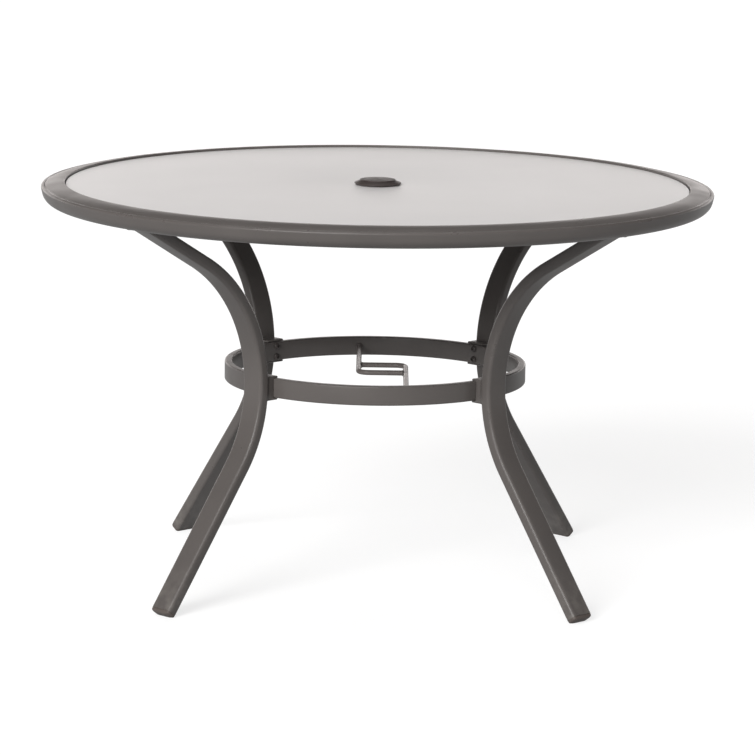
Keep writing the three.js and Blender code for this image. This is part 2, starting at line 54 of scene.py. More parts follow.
STRAIGHT = 1e-6  # a bend with a smaller sine is straight
DOUBLED = 1e-6  # points nearer to each other than this are one point
SHARP = math.radians(35.0)  # edges that bend more stay sharp
GLOSS_IOR = 1.5
SEAT = 0.3 * MM  # space between pieces that rest on each other
PINCH = 0.02  # share of its size to which a flat end's last ring shrinks

# Directions in a leg's own frame: X runs outwards from the table's axis, and Z up.
ACROSS = np.array([0.0, -1.0, 0.0])
INWARDS = np.array([-1.0, 0.0, 0.0])
UP = np.array([0.0, 0.0, 1.0])

Array = np.ndarray
Colour = tuple[float, float, float]
Span = tuple[float, float]
Ramp = tuple[float, float, float, float]
Piece = bpy.types.Object
Socket = bpy.types.NodeSocket
Value = Socket | Colour | float


class Body(Enum):
    """The CAD bodies that pieces ride on."""

    TABLE = "table"
    CAP = "cap"


class Slot(Enum):
    """The material slots."""

    FRAME = "frame"
    GLASS = "glass"
    PLASTIC = "plastic"
    GASKET = "gasket"
    FASTENER = "fastener"
    INSERT = "insert"


class Finish(Enum):
    """The finishes, each with the slot that it belongs to."""

    COAT = ("coat", Slot.FRAME)
    # Painted light: a lighter copy of the frame's coat for the rods, for the light on their tops.
    ROD_COAT_PAINTED_LIGHT = ("rod_coat_painted_light", Slot.FRAME)
    GLASS = ("glass", Slot.GLASS)
    PLASTIC = ("plastic", Slot.PLASTIC)
    GLIDE_PLASTIC = ("glide_plastic", Slot.PLASTIC)
    GASKET = ("gasket", Slot.GASKET)
    FASTENER = ("fastener", Slot.FASTENER)
    INSERT = ("insert", Slot.INSERT)

    @property
    def slot(self) -> Slot:
        """The material slot that the finish belongs to."""
        return self.value[1]


# The table's sizes that several sub-assemblies share


@dataclass(frozen=True)
class Plan:
    """Sizes of the whole table, as in its CAD model."""

    table_radius: float = 609.6 * MM
    lip_height: float = 727.0 * MM
    rim_height: float = 36.3 * MM
    rim_top_width: float = 43.0 * MM
    glass_drop: float = 4.0 * MM
    glass_thickness: float = 5.0 * MM
    waist_height: float = 387.5 * MM
    stretcher_radius: float = 275.0 * MM
    stretcher_thickness: float = 14.0 * MM
    stretcher_height: float = 35.0 * MM
    stretcher_middle: float = 382.0 * MM
    saddle_web: float = 12.4 * MM
    leg_width: float = 47.0 * MM
    leg_depth: float = 21.0 * MM

    @property
    def lip_radius(self) -> float:
        """Radius of the rim's inner lip."""
        return self.table_radius - self.rim_top_width

    @property
    def rim_bottom(self) -> float:
        """Height of the rim's underside."""
        return self.lip_height - self.rim_height

    @property
    def glass_top(self) -> float:
        """Height of the glass's upper face."""
        return self.lip_height - self.glass_drop

    @property
    def glass_bottom(self) -> float:
        """Height of the glass's lower face."""
        return self.glass_top - self.glass_thickness

    @property
    def stretcher_inner(self) -> float:
        """Radius of the stretcher's inner face."""
        return self.stretcher_radius - self.stretcher_thickness

    @property
    def leg_inner_face(self) -> float:
        """Radius of the leg's inner face at its waist."""
        return self.stretcher_radius + self.saddle_web + 2.0 * SEAT

    @property
    def waist_radius(self) -> float:
        """Radius of the leg's centreline at its waist."""
        return self.leg_inner_face + self.leg_depth / 2.0


PLAN = Plan()


# Points and outlines. A bare whole number given to one of these functions or to np.linspace is
# how many stretches or points a curve has.


def unit(vectors: Array) -> Array:
    """Vectors along the last axis, made one long."""
    return vectors / np.maximum(np.linalg.norm(vectors, axis=-1, keepdims=True), TINY)


def circle(count: int) -> Array:
    """Points evenly round a circle of radius one: (cos a, sin a) for a full turn of angles."""
    angle = np.linspace(0.0, TURN, count, endpoint=False)
    return np.column_stack((np.cos(angle), np.sin(angle)))


def arc(cx: float, cy: float, radius: float, start: float, end: float, steps: int) -> Array:
    """Points of an arc, both ends included: centre + radius * (cos a, sin a), a in degrees."""
    angle = np.radians(np.linspace(start, end, steps + 1))
    return np.column_stack((cx + radius * np.cos(angle), cy + radius * np.sin(angle)))


def line(start: Sequence[float], end: Sequence[float], steps: int = 1) -> Array:
    """Points of a straight stretch, evenly spaced, both ends included."""
    share = np.linspace(0.0, 1.0, steps + 1)[:, None]
    return np.asarray(start, float) * (1.0 - share) + np.asarray(end, float) * share


def rounded(corners: Sequence[Sequence[float]], steps: int) -> Array:
    """A closed outline whose corners are rounded, each with its own radius.

    Formula: at each corner a circle touches both sides, at radius / tan(half the corner's angle)
    from the corner, and its arc replaces the corner. A corner that hardly bends gets a straight
    stretch in place of the arc.

    Args:
        corners: (x, y, radius) of each corner, in order.
        steps: number of stretches of each arc.

    Returns:
        The outline's points in the same order.
    """
    data = np.asarray(corners, float)
    point, radius = data[:, :2], data[:, 2:]
    before = unit(np.roll(point, 1, axis=0) - point)
    after = unit(np.roll(point, -1, axis=0) - point)
    cosine = np.sum(before * after, axis=1, keepdims=True)
    half = np.arccos(np.clip(cosine, -1.0, 1.0)) / 2.0
    centre = point + unit(before + after) * (radius / np.sin(half))
    reach = radius / np.tan(half)
    first = (point + before * reach - centre)[:, None]
    last = (point + after * reach - centre)[:, None]
    share = np.linspace(0.0, 1.0, steps + 1)[None, :, None]
    bend = (math.pi - 2.0 * half)[:, None]
    spread = np.sin(bend)
    curved = np.sin((1.0 - share) * bend) * first + np.sin(share * bend) * last
    straight = (1.0 - share) * first + share * last
    stretch = np.where(spread > STRAIGHT, curved / np.maximum(spread, TINY), straight)
    return (centre[:, None] + stretch).reshape(-1, 2)


def box_outline(width: float, height: float, radius: float, steps: int) -> Array:
    """A rectangle with rounded corners round the origin, anticlockwise."""
    x, y = width / 2.0, height / 2.0
    return rounded([(x, -y, radius), (x, y, radius), (-x, y, radius), (-x, -y, radius)], steps)


def inset(outline: Array, distance: float) -> Array:
    """Moves a closed anticlockwise outline inwards.

    Formula: each point moves along the mean of the normals of its two sides.

    Args:
        outline: the outline's points.
        distance: how far each point moves.

    Returns:
        The moved points.
    """
    side = unit(np.roll(outline, -1, axis=0) - outline)
    normal = np.column_stack((-side[:, 1], side[:, 0]))
    return outline + unit(normal + np.roll(normal, 1, axis=0)) * distance


def resample(loop: Array, count: int) -> Array:
    """Spreads points evenly along a closed outline.

    Formula: both coordinates are read at equal steps of the length along the outline.

    Args:
        loop: the outline's points.
        count: number of new points.

    Returns:
        The new points.
    """
    closed = np.vstack((loop, loop[:1]))
    step = np.linalg.norm(np.diff(closed, axis=0), axis=1)
    length = np.concatenate(([0.0], np.cumsum(step)))
    at = np.linspace(0.0, length[-1], count, endpoint=False)
    return np.column_stack([np.interp(at, length, values) for values in closed.T])


def corner_wear(outline: Array, reach: float) -> Array:
    """How exposed each point of a closed outline is: 1 at tight corners and 0 on flats.

    Formula: the outline's turn at the point over the mean length of its two sides, times the
    reach, held between 0 and 1.

    Args:
        outline: the outline's points.
        reach: corners of this radius or less are fully exposed.

    Returns:
        One number for each point.
    """
    ahead = np.roll(outline, -1, axis=0) - outline
    behind = outline - np.roll(outline, 1, axis=0)
    cross = behind[:, 0] * ahead[:, 1] - behind[:, 1] * ahead[:, 0]
    turn = np.arctan2(cross, np.sum(behind * ahead, axis=1))
    length = (np.linalg.norm(ahead, axis=1) + np.linalg.norm(behind, axis=1)) / 2.0
    return np.clip(np.abs(turn) / np.maximum(length, TINY) * reach, 0.0, 1.0)


# Surfaces


def grid_faces(rows: int, columns: int, close_rows: bool) -> Array:
    """Corner indices of the quads of a grid of points whose rows run all round.

    Formula: each quad joins (row, column), (row, next column), (next row, next column) and
    (next row, column), and the number after the last is the first.

    Args:
        rows: number of rows.
        columns: number of points in a row.
        close_rows: joins the last row to the first.

    Returns:
        An array of shape (quads, 4).
    """
    starts = np.arange(rows if close_rows else rows - 1)
    row, column = np.meshgrid(starts, np.arange(columns), indexing="ij")
    here, there = row * columns, (row + 1) % rows * columns
    beside = (column + 1) % columns
    quads = (here + column, here + beside, there + beside, there + column)
    return np.stack(quads, axis=-1).reshape(-1, 4)


def clean(mesh: bpy.types.Mesh) -> None:
    """Merges doubled points, turns all faces outwards and smooths all but the sharp edges.

    Args:
        mesh: the mesh, which is changed.
    """
    bm = bmesh.new()
    bm.from_mesh(mesh)
    bmesh.ops.remove_doubles(bm, verts=bm.verts, dist=DOUBLED)
    bmesh.ops.recalc_face_normals(bm, faces=bm.faces)
    bm.to_mesh(mesh)
    bm.free()
    mesh.shade_smooth()
    mesh.set_sharp_from_angle(angle=SHARP)
    mesh.update()


def surface(
    name: str,
    points: Array,
    *,
    close_rows: bool = False,
    caps: bool = False,
    wear: Array | None = None,
) -> Piece:
    """Makes a mesh object from a grid of points whose rows run all round.

    Args:
        name: name of the piece.
        points: array of shape (rows, columns, 3).
        close_rows: joins the last row to the first.
        caps: closes the first and the last row with a face each.
        wear: how much each point is rubbed, from 0 to 1, in an array of shape (rows, columns).

    Returns:
        The new object, at the origin, with smooth faces that point outwards.
    """
    rows, columns = points.shape[:2]
    faces = grid_faces(rows, columns, close_rows).tolist()
    if caps:
        faces.append(list(range(columns))[::-1])
        faces.append(list(range((rows - 1) * columns, rows * columns)))
    mesh = bpy.data.meshes.new(name)
    mesh.from_pydata(points.reshape(-1, 3).tolist(), [], faces)
    rub = mesh.attributes.new("rub", "FLOAT", "POINT")
    worn = np.zeros((rows, columns)) if wear is None else wear
    rub.data.foreach_set("value", worn.reshape(-1).astype(np.float32))
    clean(mesh)
    piece = bpy.data.objects.new(name, mesh)
    bpy.context.scene.collection.objects.link(piece)
    return piece


def revolve(
    name: str, profile: Array, segments: int, wear: Array | None = None, closed: bool = True
) -> Piece:
    """Turns a profile of (radius, height) points round the Z axis.

    Formula: point = (r cos a, r sin a, z) for angles a all round the circle.

    Args:
        name: name of the piece.
        profile: the profile's points.
        segments: number of steps round the axis.
        wear: how much each point of the profile is rubbed.
        closed: joins the profile's last point to its first.

    Returns:
        The new object.
    """
    flat = profile[:, None, :1] * circle(segments)
    height = np.repeat(profile[:, None, 1:], segments, axis=1)
    if wear is not None:
        wear = np.repeat(wear[:, None], segments, axis=1)
    points = np.concatenate((flat, height), axis=-1)
    return surface(name, points, close_rows=closed, wear=wear)


def sweep(outline: Array, centre: Array, side: Array, normal: Array) -> Array:
    """Carries an outline along a path.

    Formula: point = centre + x * side + y * normal at each station.

    Args:
        outline: (x, y) points of the section, the same for all stations or one set for each.
        centre: the path's points, one for each station.
        side: unit vector for the section's x, the same for all stations or one for each.
        normal: unit vector for the section's y.

    Returns:
        A grid of points with one row for each station.
    """
    x = outline[..., 0, None] * side[..., None, :]
    y = outline[..., 1, None] * normal[..., None, :]
    return centre[:, None] + x + y


def turned(points: Array, angle: float) -> Array:
    """Turns points round the Z axis by an angle in radians."""
    c, s = math.cos(angle), math.sin(angle)
    return points @ np.array([[c, s, 0.0], [-s, c, 0.0], [0.0, 0.0, 1.0]])


# Finishes


def shade(colour: Colour, factor: float) -> Colour:
    """A lighter or darker version of a colour."""
    return tuple(min(1.0, c * factor) for c in colour)


@dataclass(frozen=True)
class Mottle:
    """Noise over a piece: patches in a metre, layers of detail, and the values for none and all."""

    scale: float
    detail: float
    none: float = 0.3
    all: float = 0.7


@dataclass(frozen=True)
class Relief:
    """A fine relief: bumps in a metre, layers of detail, strength and height."""

    scale: float
    detail: float
    strength: float
    height: float


class Nodes:
    """A node tree with short calls for its nodes."""

    def __init__(self, owner: bpy.types.Material | bpy.types.World) -> None:
        """Empties the node tree of a material or a world.

        Args:
            owner: the material or the world.
        """
        owner.use_nodes = True
        self.tree = owner.node_tree
        self.tree.nodes.clear()

    def add(
        self, kind: str, inputs: dict[str | int, Value], output: str | int = 0, **options: str
    ) -> Socket:
        """Adds a node, and sets or links its inputs.

        Args:
            kind: the node's type, less the word ShaderNode before it.
            inputs: a value or a socket for each input, by the input's name or place.
            output: name or place of the output that is wanted.
            options: the node's own options.

        Returns:
            The output's socket.
        """
        node = self.tree.nodes.new(f"ShaderNode{kind}")
        for key, value in options.items():
            setattr(node, key, value)
        for key, value in inputs.items():
            if isinstance(value, Socket):
                self.tree.links.new(value, node.inputs[key])
            else:
                node.inputs[key].default_value = value
        return node.outputs[output]

    def end(self, kind: str, shader: Socket) -> None:
        """Joins a shader to the tree's output."""
        output = self.tree.nodes.new(f"ShaderNode{kind}")
        self.tree.links.new(shader, output.inputs["Surface"])

    def maths(self, operation: str, *values: Value) -> Socket:
        """Joins values by one sum, product or other step."""
        return self.add("Math", dict(enumerate(values)), operation=operation)

    def ramp(self, source: Socket, *limits: Value) -> Socket:
        """Maps a value from the first two limits to the last two and holds it inside."""
        return self.add("MapRange", dict(enumerate((source, *limits))))

    def blend(self, share: Socket, first: Value, second: Value) -> Socket:
        """Mixes two colours, each a colour or a socket, by a share of the second."""
        pair = [(*c, 1.0) if isinstance(c, tuple) else c for c in (first, second)]
        return self.add("Mix", {0: share, 6: pair[0], 7: pair[1]}, 2, data_type="RGBA")

    def ray(self, kind: str) -> Socket:
        """Tells whether the light path is of one kind, such as Is Glossy Ray."""
        return self.add("LightPath", {}, kind)

    def seen(self) -> Socket:
        """Tells whether the camera looks here, straight or through something clear."""
        return self.maths("MAXIMUM", self.ray("Is Camera Ray"), self.ray("Is Transmission Ray"))


class Shader(Nodes):
    """A piece's material under construction, on the piece's own place."""

    def __init__(self, name: str) -> None:
        """Makes an empty node material.

        Args:
            name: the material's name.
        """
        self.material = bpy.data.materials.new(name)
        super().__init__(self.material)
        self.place = self.add("TexCoord", {}, "Object")

    def noise(self, scale: float, detail: float) -> Socket:
        """Noise over the piece's own place, with its scale in features per metre."""
        inputs = {"Vector": self.place, "Scale": scale, "Detail": detail}
        return self.add("TexNoise", inputs, "Fac")

    def mottle(self, pattern: Mottle, low: float = 0.0, high: float = 1.0) -> Socket:
        """A mottled value between a low and a high one."""
        noise = self.noise(pattern.scale, pattern.detail)
        return self.ramp(noise, pattern.none, pattern.all, low, high)

    def clouds(self, colour: Colour, pattern: Mottle, depth: float) -> Socket:
        """A colour in clouds that are darker and lighter by a share."""
        dark, light = shade(colour, 1.0 - depth), shade(colour, 1.0 + depth)
        return self.blend(self.mottle(pattern), dark, light)

    def rub(self, pattern: Mottle, low: float = 0.0, high: float = 1.0) -> Socket:
        """The mesh's own wear, broken up by a mottle."""
        worn = self.add("Attribute", {}, "Fac", attribute_name="rub")
        return self.maths("MULTIPLY", worn, self.mottle(pattern, low, high))

    def height(self) -> Socket:
        """Height over the floor."""
        return self.add("SeparateXYZ", {0: self.place}, "Z")

    def relief(self, relief: Relief, below: Socket | None = None) -> Socket:
        """A fine relief, on top of another one if that is given.

        Args:
            relief: the relief's sizes.
            below: the other relief.

        Returns:
            The surface's normal.
        """
        noise = self.noise(relief.scale, relief.detail)
        inputs = {"Strength": relief.strength, "Distance": relief.height, "Height": noise}
        if below is not None:
            inputs["Normal"] = below
        return self.add("Bump", inputs)

    def finish(
        self, colour: Socket, roughness: Socket, normal: Socket, metallic: float = 0.0
    ) -> bpy.types.Material:
        """Joins everything to the surface shader.

        Args:
            colour: the surface's colour.
            roughness: its roughness.
            normal: its relief.
            metallic: how much of it is bare metal.

        Returns:
            The finished material.
        """
        inputs = {"Base Color": colour, "Roughness": roughness, "Normal": normal}
        inputs |= {"Metallic": metallic, "IOR": GLOSS_IOR}
        self.end("OutputMaterial", self.add("BsdfPrincipled", inputs, "BSDF"))
        return self.material


@dataclass(frozen=True)
class PowderCoat:
    """Baked satin coat: orange peel, faint clouds, flecks, rubbed edges and dusty feet."""

    name: str = "powder_coat"
    colour: Colour = (0.096, 0.0865, 0.0815)
    roughness: float = 0.32
    clouds: Mottle = Mottle(9.0, 4.0)
    cloud_depth: float = 0.06
    flecks: Mottle = Mottle(1500.0, 1.0, 0.62, 0.78)
    fleck_share: float = 0.5
    fleck_lift: float = 1.5
    rubs: Mottle = Mottle(45.0, 5.0, 0.42, 0.62)
    rub_share: float = 0.45
    rub_lift: float = 1.18
    rub_polish: float = 0.08
    dust: Mottle = Mottle(60.0, 5.0, 0.4, 0.7)
    dust_height: float = 90.0 * MM
    dust_share: float = 0.3
    dust_colour: Colour = (0.30, 0.28, 0.25)
    smears: Mottle = Mottle(16.0, 6.0, 0.25, 0.75)
    smear_span: Span = (-0.05, 0.06)
    peel: Relief = Relief(620.0, 2.0, 0.25, 0.06 * MM)
    wave: Relief = Relief(70.0, 2.0, 0.05, 0.4 * MM)

    def material(self) -> bpy.types.Material:
        """Builds the coat's material.

        Returns:
            The material.
        """
        s = Shader(self.name)
        base = s.clouds(self.colour, self.clouds, self.cloud_depth)
        fleck = s.mottle(self.flecks, 0.0, self.fleck_share)
        base = s.blend(fleck, base, shade(self.colour, self.fleck_lift))
        rub = s.rub(self.rubs)
        lighter = s.maths("MULTIPLY", rub, self.rub_share)
        base = s.blend(lighter, base, shade(self.colour, self.rub_lift))
        low = s.ramp(s.height(), 0.0, self.dust_height, self.dust_share, 0.0)
        base = s.blend(s.maths("MULTIPLY", low, s.mottle(self.dust)), base, self.dust_colour)
        smear = s.mottle(self.smears, *(self.roughness + d for d in self.smear_span))
        rough = s.maths("SUBTRACT", smear, s.maths("MULTIPLY", rub, self.rub_polish))
        return s.finish(base, rough, s.relief(self.wave, s.relief(self.peel)))


@dataclass(frozen=True)
class FrostedGlass:
    """Tempered glass with a frosted coat under it: pale and even, a soft sheen on top, painted
    shade below.
    """

    name: str = "frosted_glass"
    colour: Colour = (0.672, 0.657, 0.650)
    roughness: float = 0.36
    clouds: Mottle = Mottle(3.0, 3.0)
    cloud_depth: float = 0.015
    frost: Mottle = Mottle(1400.0, 1.0, 0.35, 0.65)
    frost_share: float = 0.35
    frost_lift: float = 1.04
    underside_painted_shade: float = 0.4
    painted_shade_span: Span = (1.0 * MM, 2.0 * MM)
    smears: Mottle = Mottle(7.0, 6.0, 0.25, 0.75)
    smear_lift: float = 0.05
    pebble: Relief = Relief(240.0, 2.0, 0.05, 0.2 * MM)

    def material(self) -> bpy.types.Material:
        """Builds the glass's material, with painted shade on its underside.

        Returns:
            The material.
        """
        s = Shader(self.name)
        base = s.clouds(self.colour, self.clouds, self.cloud_depth)
        frost = s.mottle(self.frost, 0.0, self.frost_share)
        base = s.blend(frost, base, shade(self.colour, self.frost_lift))
        # Painted shade: the glass's underside is drawn darker, for the shade that lies under the
        # sheet.
        painted_shade_levels = (PLAN.glass_bottom + d for d in self.painted_shade_span)
        above = s.ramp(s.height(), *painted_shade_levels, 0.0, 1.0)
        base = s.blend(above, shade(self.colour, self.underside_painted_shade), base)
        rough = s.mottle(self.smears, self.roughness, self.roughness + self.smear_lift)
        return s.finish(base, rough, s.relief(self.pebble))


@dataclass(frozen=True)
class SmallPartFinish:
    """What the small parts share: faint clouds, rubbed edges, uneven gloss and a fine grain."""

    name: str
    colour: Colour
    roughness: float
    metallic: float = 0.0
    clouds: Mottle = Mottle(60.0, 4.0)
    cloud_depth: float = 0.15
    rubs: Mottle = Mottle(120.0, 4.0, 0.4, 0.65)
    rub_span: Span = (0.2, 0.7)
    rub_lift: float = 1.5
    smears: Mottle = Mottle(30.0, 3.0)
    smear_span: Span = (0.0, 0.15)
    grain: Relief = Relief(700.0, 2.0, 0.25, 0.1 * MM)

    def material(self) -> bpy.types.Material:
        """Builds the part's material.

        Returns:
            The material.
        """
        s = Shader(self.name)
        base = s.clouds(self.colour, self.clouds, self.cloud_depth)
        base = s.blend(s.rub(self.rubs, *self.rub_span), base, shade(self.colour, self.rub_lift))
        rough = s.mottle(self.smears, *(self.roughness + d for d in self.smear_span))
        return s.finish(base, rough, s.relief(self.grain), self.metallic)


@dataclass(frozen=True)
class SoftVinyl(SmallPartFinish):
    """The gasket's soft grey vinyl, with the clouds and the grain that all small parts have."""


@dataclass(frozen=True)
class MouldedPlastic(SmallPartFinish):
    """Dark moulded plastic with a fine spark-eroded grain."""

    clouds: Mottle = Mottle(40.0, 4.0)
    cloud_depth: float = 0.07
    smears: Mottle = Mottle(90.0, 4.0)
    smear_span: Span = (-0.05, 0.07)
    grain: Relief = Relief(900.0, 2.0, 0.3, 0.08 * MM)


@dataclass(frozen=True)
class CoatedSteel(SmallPartFinish):
    """Small steel parts with a thin coat that tools and plating have marked."""

    clouds: Mottle = Mottle(130.0, 4.0)
    cloud_depth: float = 0.1
    rubs: Mottle = Mottle(300.0, 3.0, 0.4, 0.6)
    rub_span: Span = (0.15, 0.6)
    rub_lift: float = 1.7
    smears: Mottle = Mottle(400.0, 3.0)
    smear_span: Span = (-0.06, 0.08)
    grain: Relief = Relief(500.0, 3.0, 0.2, 0.05 * MM)


class Finishes:
    """One material for each finish."""

    def __init__(self) -> None:
        """Builds all the materials once."""
        coats = {
            Finish.COAT: PowderCoat(),
            Finish.GLASS: FrostedGlass(),
            Finish.PLASTIC: MouldedPlastic("moulded_plastic", (0.043, 0.034, 0.031), 0.38),
            Finish.GASKET: SoftVinyl("soft_vinyl", (0.045, 0.043, 0.042), 0.55),
            Finish.FASTENER: CoatedSteel("coated_steel", (0.060, 0.052, 0.049), 0.34, 0.3),
            Finish.INSERT: CoatedSteel("zinc_plate", (0.55, 0.53, 0.50), 0.34, 0.9),
            # Painted light: the rods wear a lighter, glossier copy of the frame's coat, for the
            # light that falls on their tops.
            Finish.ROD_COAT_PAINTED_LIGHT: PowderCoat("rod_coat_painted_light", (0.135, 0.118, 0.111), 0.27),
            Finish.GLIDE_PLASTIC: MouldedPlastic("glide_plastic", (0.096, 0.080, 0.072), 0.45),
        }
        self.made = {finish: coat.material() for finish, coat in coats.items()}

    def dress(self, piece: Piece, finish: Finish) -> None:
        """Puts one material on all of a piece."""
        piece.data.materials.clear()
        piece.data.materials.append(self.made[finish])


@dataclass
class Bench:
    """Where finished pieces are handed over: their body, slot and finish."""

    finishes: Finishes

    def add(
        self, piece: Piece, finish: Finish, replaces: Sequence[str] = (), body: Body = Body.TABLE
    ) -> None:
        """Dresses a new piece and fixes it to its body.

        Args:
            piece: the new object.
            finish: its finish, which also says its slot.
            replaces: names of the CAD nodes that it stands for.
            body: the CAD body that it rides on.
        """
        self.finishes.dress(piece, finish)
        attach(piece, body.value)
        if replaces:
            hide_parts(*replaces)
        LOG.info("piece %s on %s: %d faces", piece.name, body.value, len(piece.data.polygons))

    def dress_node(self, name: str, finish: Finish) -> None:
        """Gives a CAD node that stays in sight its finish."""
        self.finishes.dress(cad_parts[name], finish)
        LOG.info("node %s keeps its shape, finish %s", name, finish.slot.value)


# Sub-assemblies


@dataclass
class TableTop:
    """The rim, the glass in it and the gasket between them."""

    segments: int = 288
    wall: float = 2.0 * MM
    lip_round: float = 1.2 * MM
    crown_fall: float = 6.2 * MM
    groove_width: float = 2.2 * MM
    groove_depth: float = 1.3 * MM
    bead_radius: float = 4.4 * MM
    bead_land: float = 1.2 * MM
    bead_shy: float = 0.15 * MM
    lean: float = 1.7 * MM
    bottom_round: float = 20.5 * MM
    rub_reach: float = 2.0 * MM
    ledge_reach: float = 15.0 * MM
    ledge_thickness: float = 2.0 * MM
    gasket_base: float = 1.6 * MM
    gasket_wall: float = 1.4 * MM
    gasket_round: float = 0.4 * MM
    gasket_drop: float = 1.2 * MM
    glass_edge: float = 1.0 * MM
    hole_radius: float = 28.5 * MM

    def rim_profile(self) -> Array:
        """The rim's closed outline, all corners rounded.

        Formula: arcs of circles for the bottom corner, the bead, the crown and the lip and half
        a sine wave for the groove, joined by straight walls. The wall between the bottom corner
        and the bead touches both circles, so it slopes by the angle between their centres less
        the arc cosine of their radii's difference over their distance. The crown is a circle
        that is level at the lip and falls by the crown's fall over its width.

        Returns:
            The outline's (radius, height) points, anticlockwise.
        """
        p = PLAN
        bead_top = p.lip_height - self.crown_fall
        edge = p.table_radius - self.bead_shy
        bead_start = edge - self.bead_radius - self.bead_land
        groove = bead_start - self.groove_width
        start = p.lip_radius + self.lip_round
        width = groove - start
        crown = (width**2 + self.crown_fall**2) / (2.0 * self.crown_fall)
        crown_end = 90.0 - math.degrees(math.asin(width / crown))
        bead = (edge - self.bead_radius, bead_top - self.bead_radius)
        foot = (edge - self.lean - self.bottom_round, p.rim_bottom + self.bottom_round)
        across, up = bead[0] - foot[0], bead[1] - foot[1]
        cosine = (self.bottom_round - self.bead_radius) / math.hypot(across, up)
        slope = math.degrees(math.atan2(up, across) - math.acos(cosine))
        ledge_top = p.glass_bottom - self.gasket_base
        ledge_low = ledge_top - self.ledge_thickness
        inner = p.lip_radius - self.ledge_reach
        share = np.linspace(0.0, 1.0, 9)[1:-1]
        groove_x = bead_start - share * self.groove_width
        groove_z = bead_top - self.groove_depth * np.sin(math.pi * share)
        small = self.wall / 4.0
        return np.concatenate(
            (
                arc(p.lip_radius + small, p.rim_bottom + small, small, 180, 270, 3),
                arc(*foot, self.bottom_round, -90, slope, 28),
                arc(*bead, self.bead_radius, slope, 90, 16),
                line((bead_start + small, bead_top), (bead_start, bead_top)),
                np.column_stack((groove_x, groove_z)),
                arc(start, p.lip_height - crown, crown, crown_end, 90, 24),
                arc(start, p.lip_height - self.lip_round, self.lip_round, 90, 180, 6),
                line((p.lip_radius, ledge_top + small), (p.lip_radius - small, ledge_top)),
                arc(inner + small, ledge_top - small, small, 90, 180, 3),
                arc(inner + small, ledge_low + small, small, 180, 270, 3),
                line((p.lip_radius - small, ledge_low), (p.lip_radius, ledge_low - small)),
            )
        )

    def glass_profile(self) -> Array:
        """The glass's closed outline: flat faces and ground edges.

        Formula: straight faces between corners, each given with the radius of its rounding.

        Returns:
            The outline's (radius, height) points, anticlockwise.
        """
        low, high, edge = PLAN.glass_bottom, PLAN.glass_top, self.glass_edge
        inner, outer = self.hole_radius, PLAN.lip_radius - self.gasket_wall - 2.0 * SEAT
        sides = [(inner, low, edge), (outer, low, edge), (outer, high, edge), (inner, high, edge)]
        return rounded(sides, 5)

    def gasket_profile(self) -> Array:
        """The gasket's closed outline, an L with soft corners.

        Formula: straight faces between corners, each given with the radius of its rounding.

        Returns:
            The outline's (radius, height) points, anticlockwise.
        """
        p = PLAN
        soft = self.gasket_round
        outer = p.lip_radius - SEAT
        low, high = p.glass_bottom - self.gasket_base, p.glass_top - self.gasket_drop
        inner = p.lip_radius - self.ledge_reach
        corners = [
            (inner, low, soft),
            (outer, low, soft),
            (outer, high, soft),
            (outer - self.gasket_wall, high, soft),
            (outer - self.gasket_wall, p.glass_bottom, soft / 2.0),
            (inner, p.glass_bottom, soft),
        ]
        return rounded(corners, 3)

    def build(self, bench: Bench) -> None:
        """Makes and dresses the three rings, with the rim rubbed at its upper corners.

        Args:
            bench: where the pieces are handed over.
        """
        rim = self.rim_profile()
        wear = corner_wear(rim, self.rub_reach) * (rim[:, 1] > PLAN.rim_bottom + self.rub_reach)
        shell = revolve("rim_shell", rim, self.segments, wear)
        disc = revolve("glass_disc", self.glass_profile(), self.segments)
        strip = revolve("gasket_strip", self.gasket_profile(), self.segments)
        bench.add(shell, Finish.COAT, ["top_rim"])
        bench.add(disc, Finish.GLASS, ["glass_top"])
        bench.add(strip, Finish.GASKET, ["glass_gasket"])


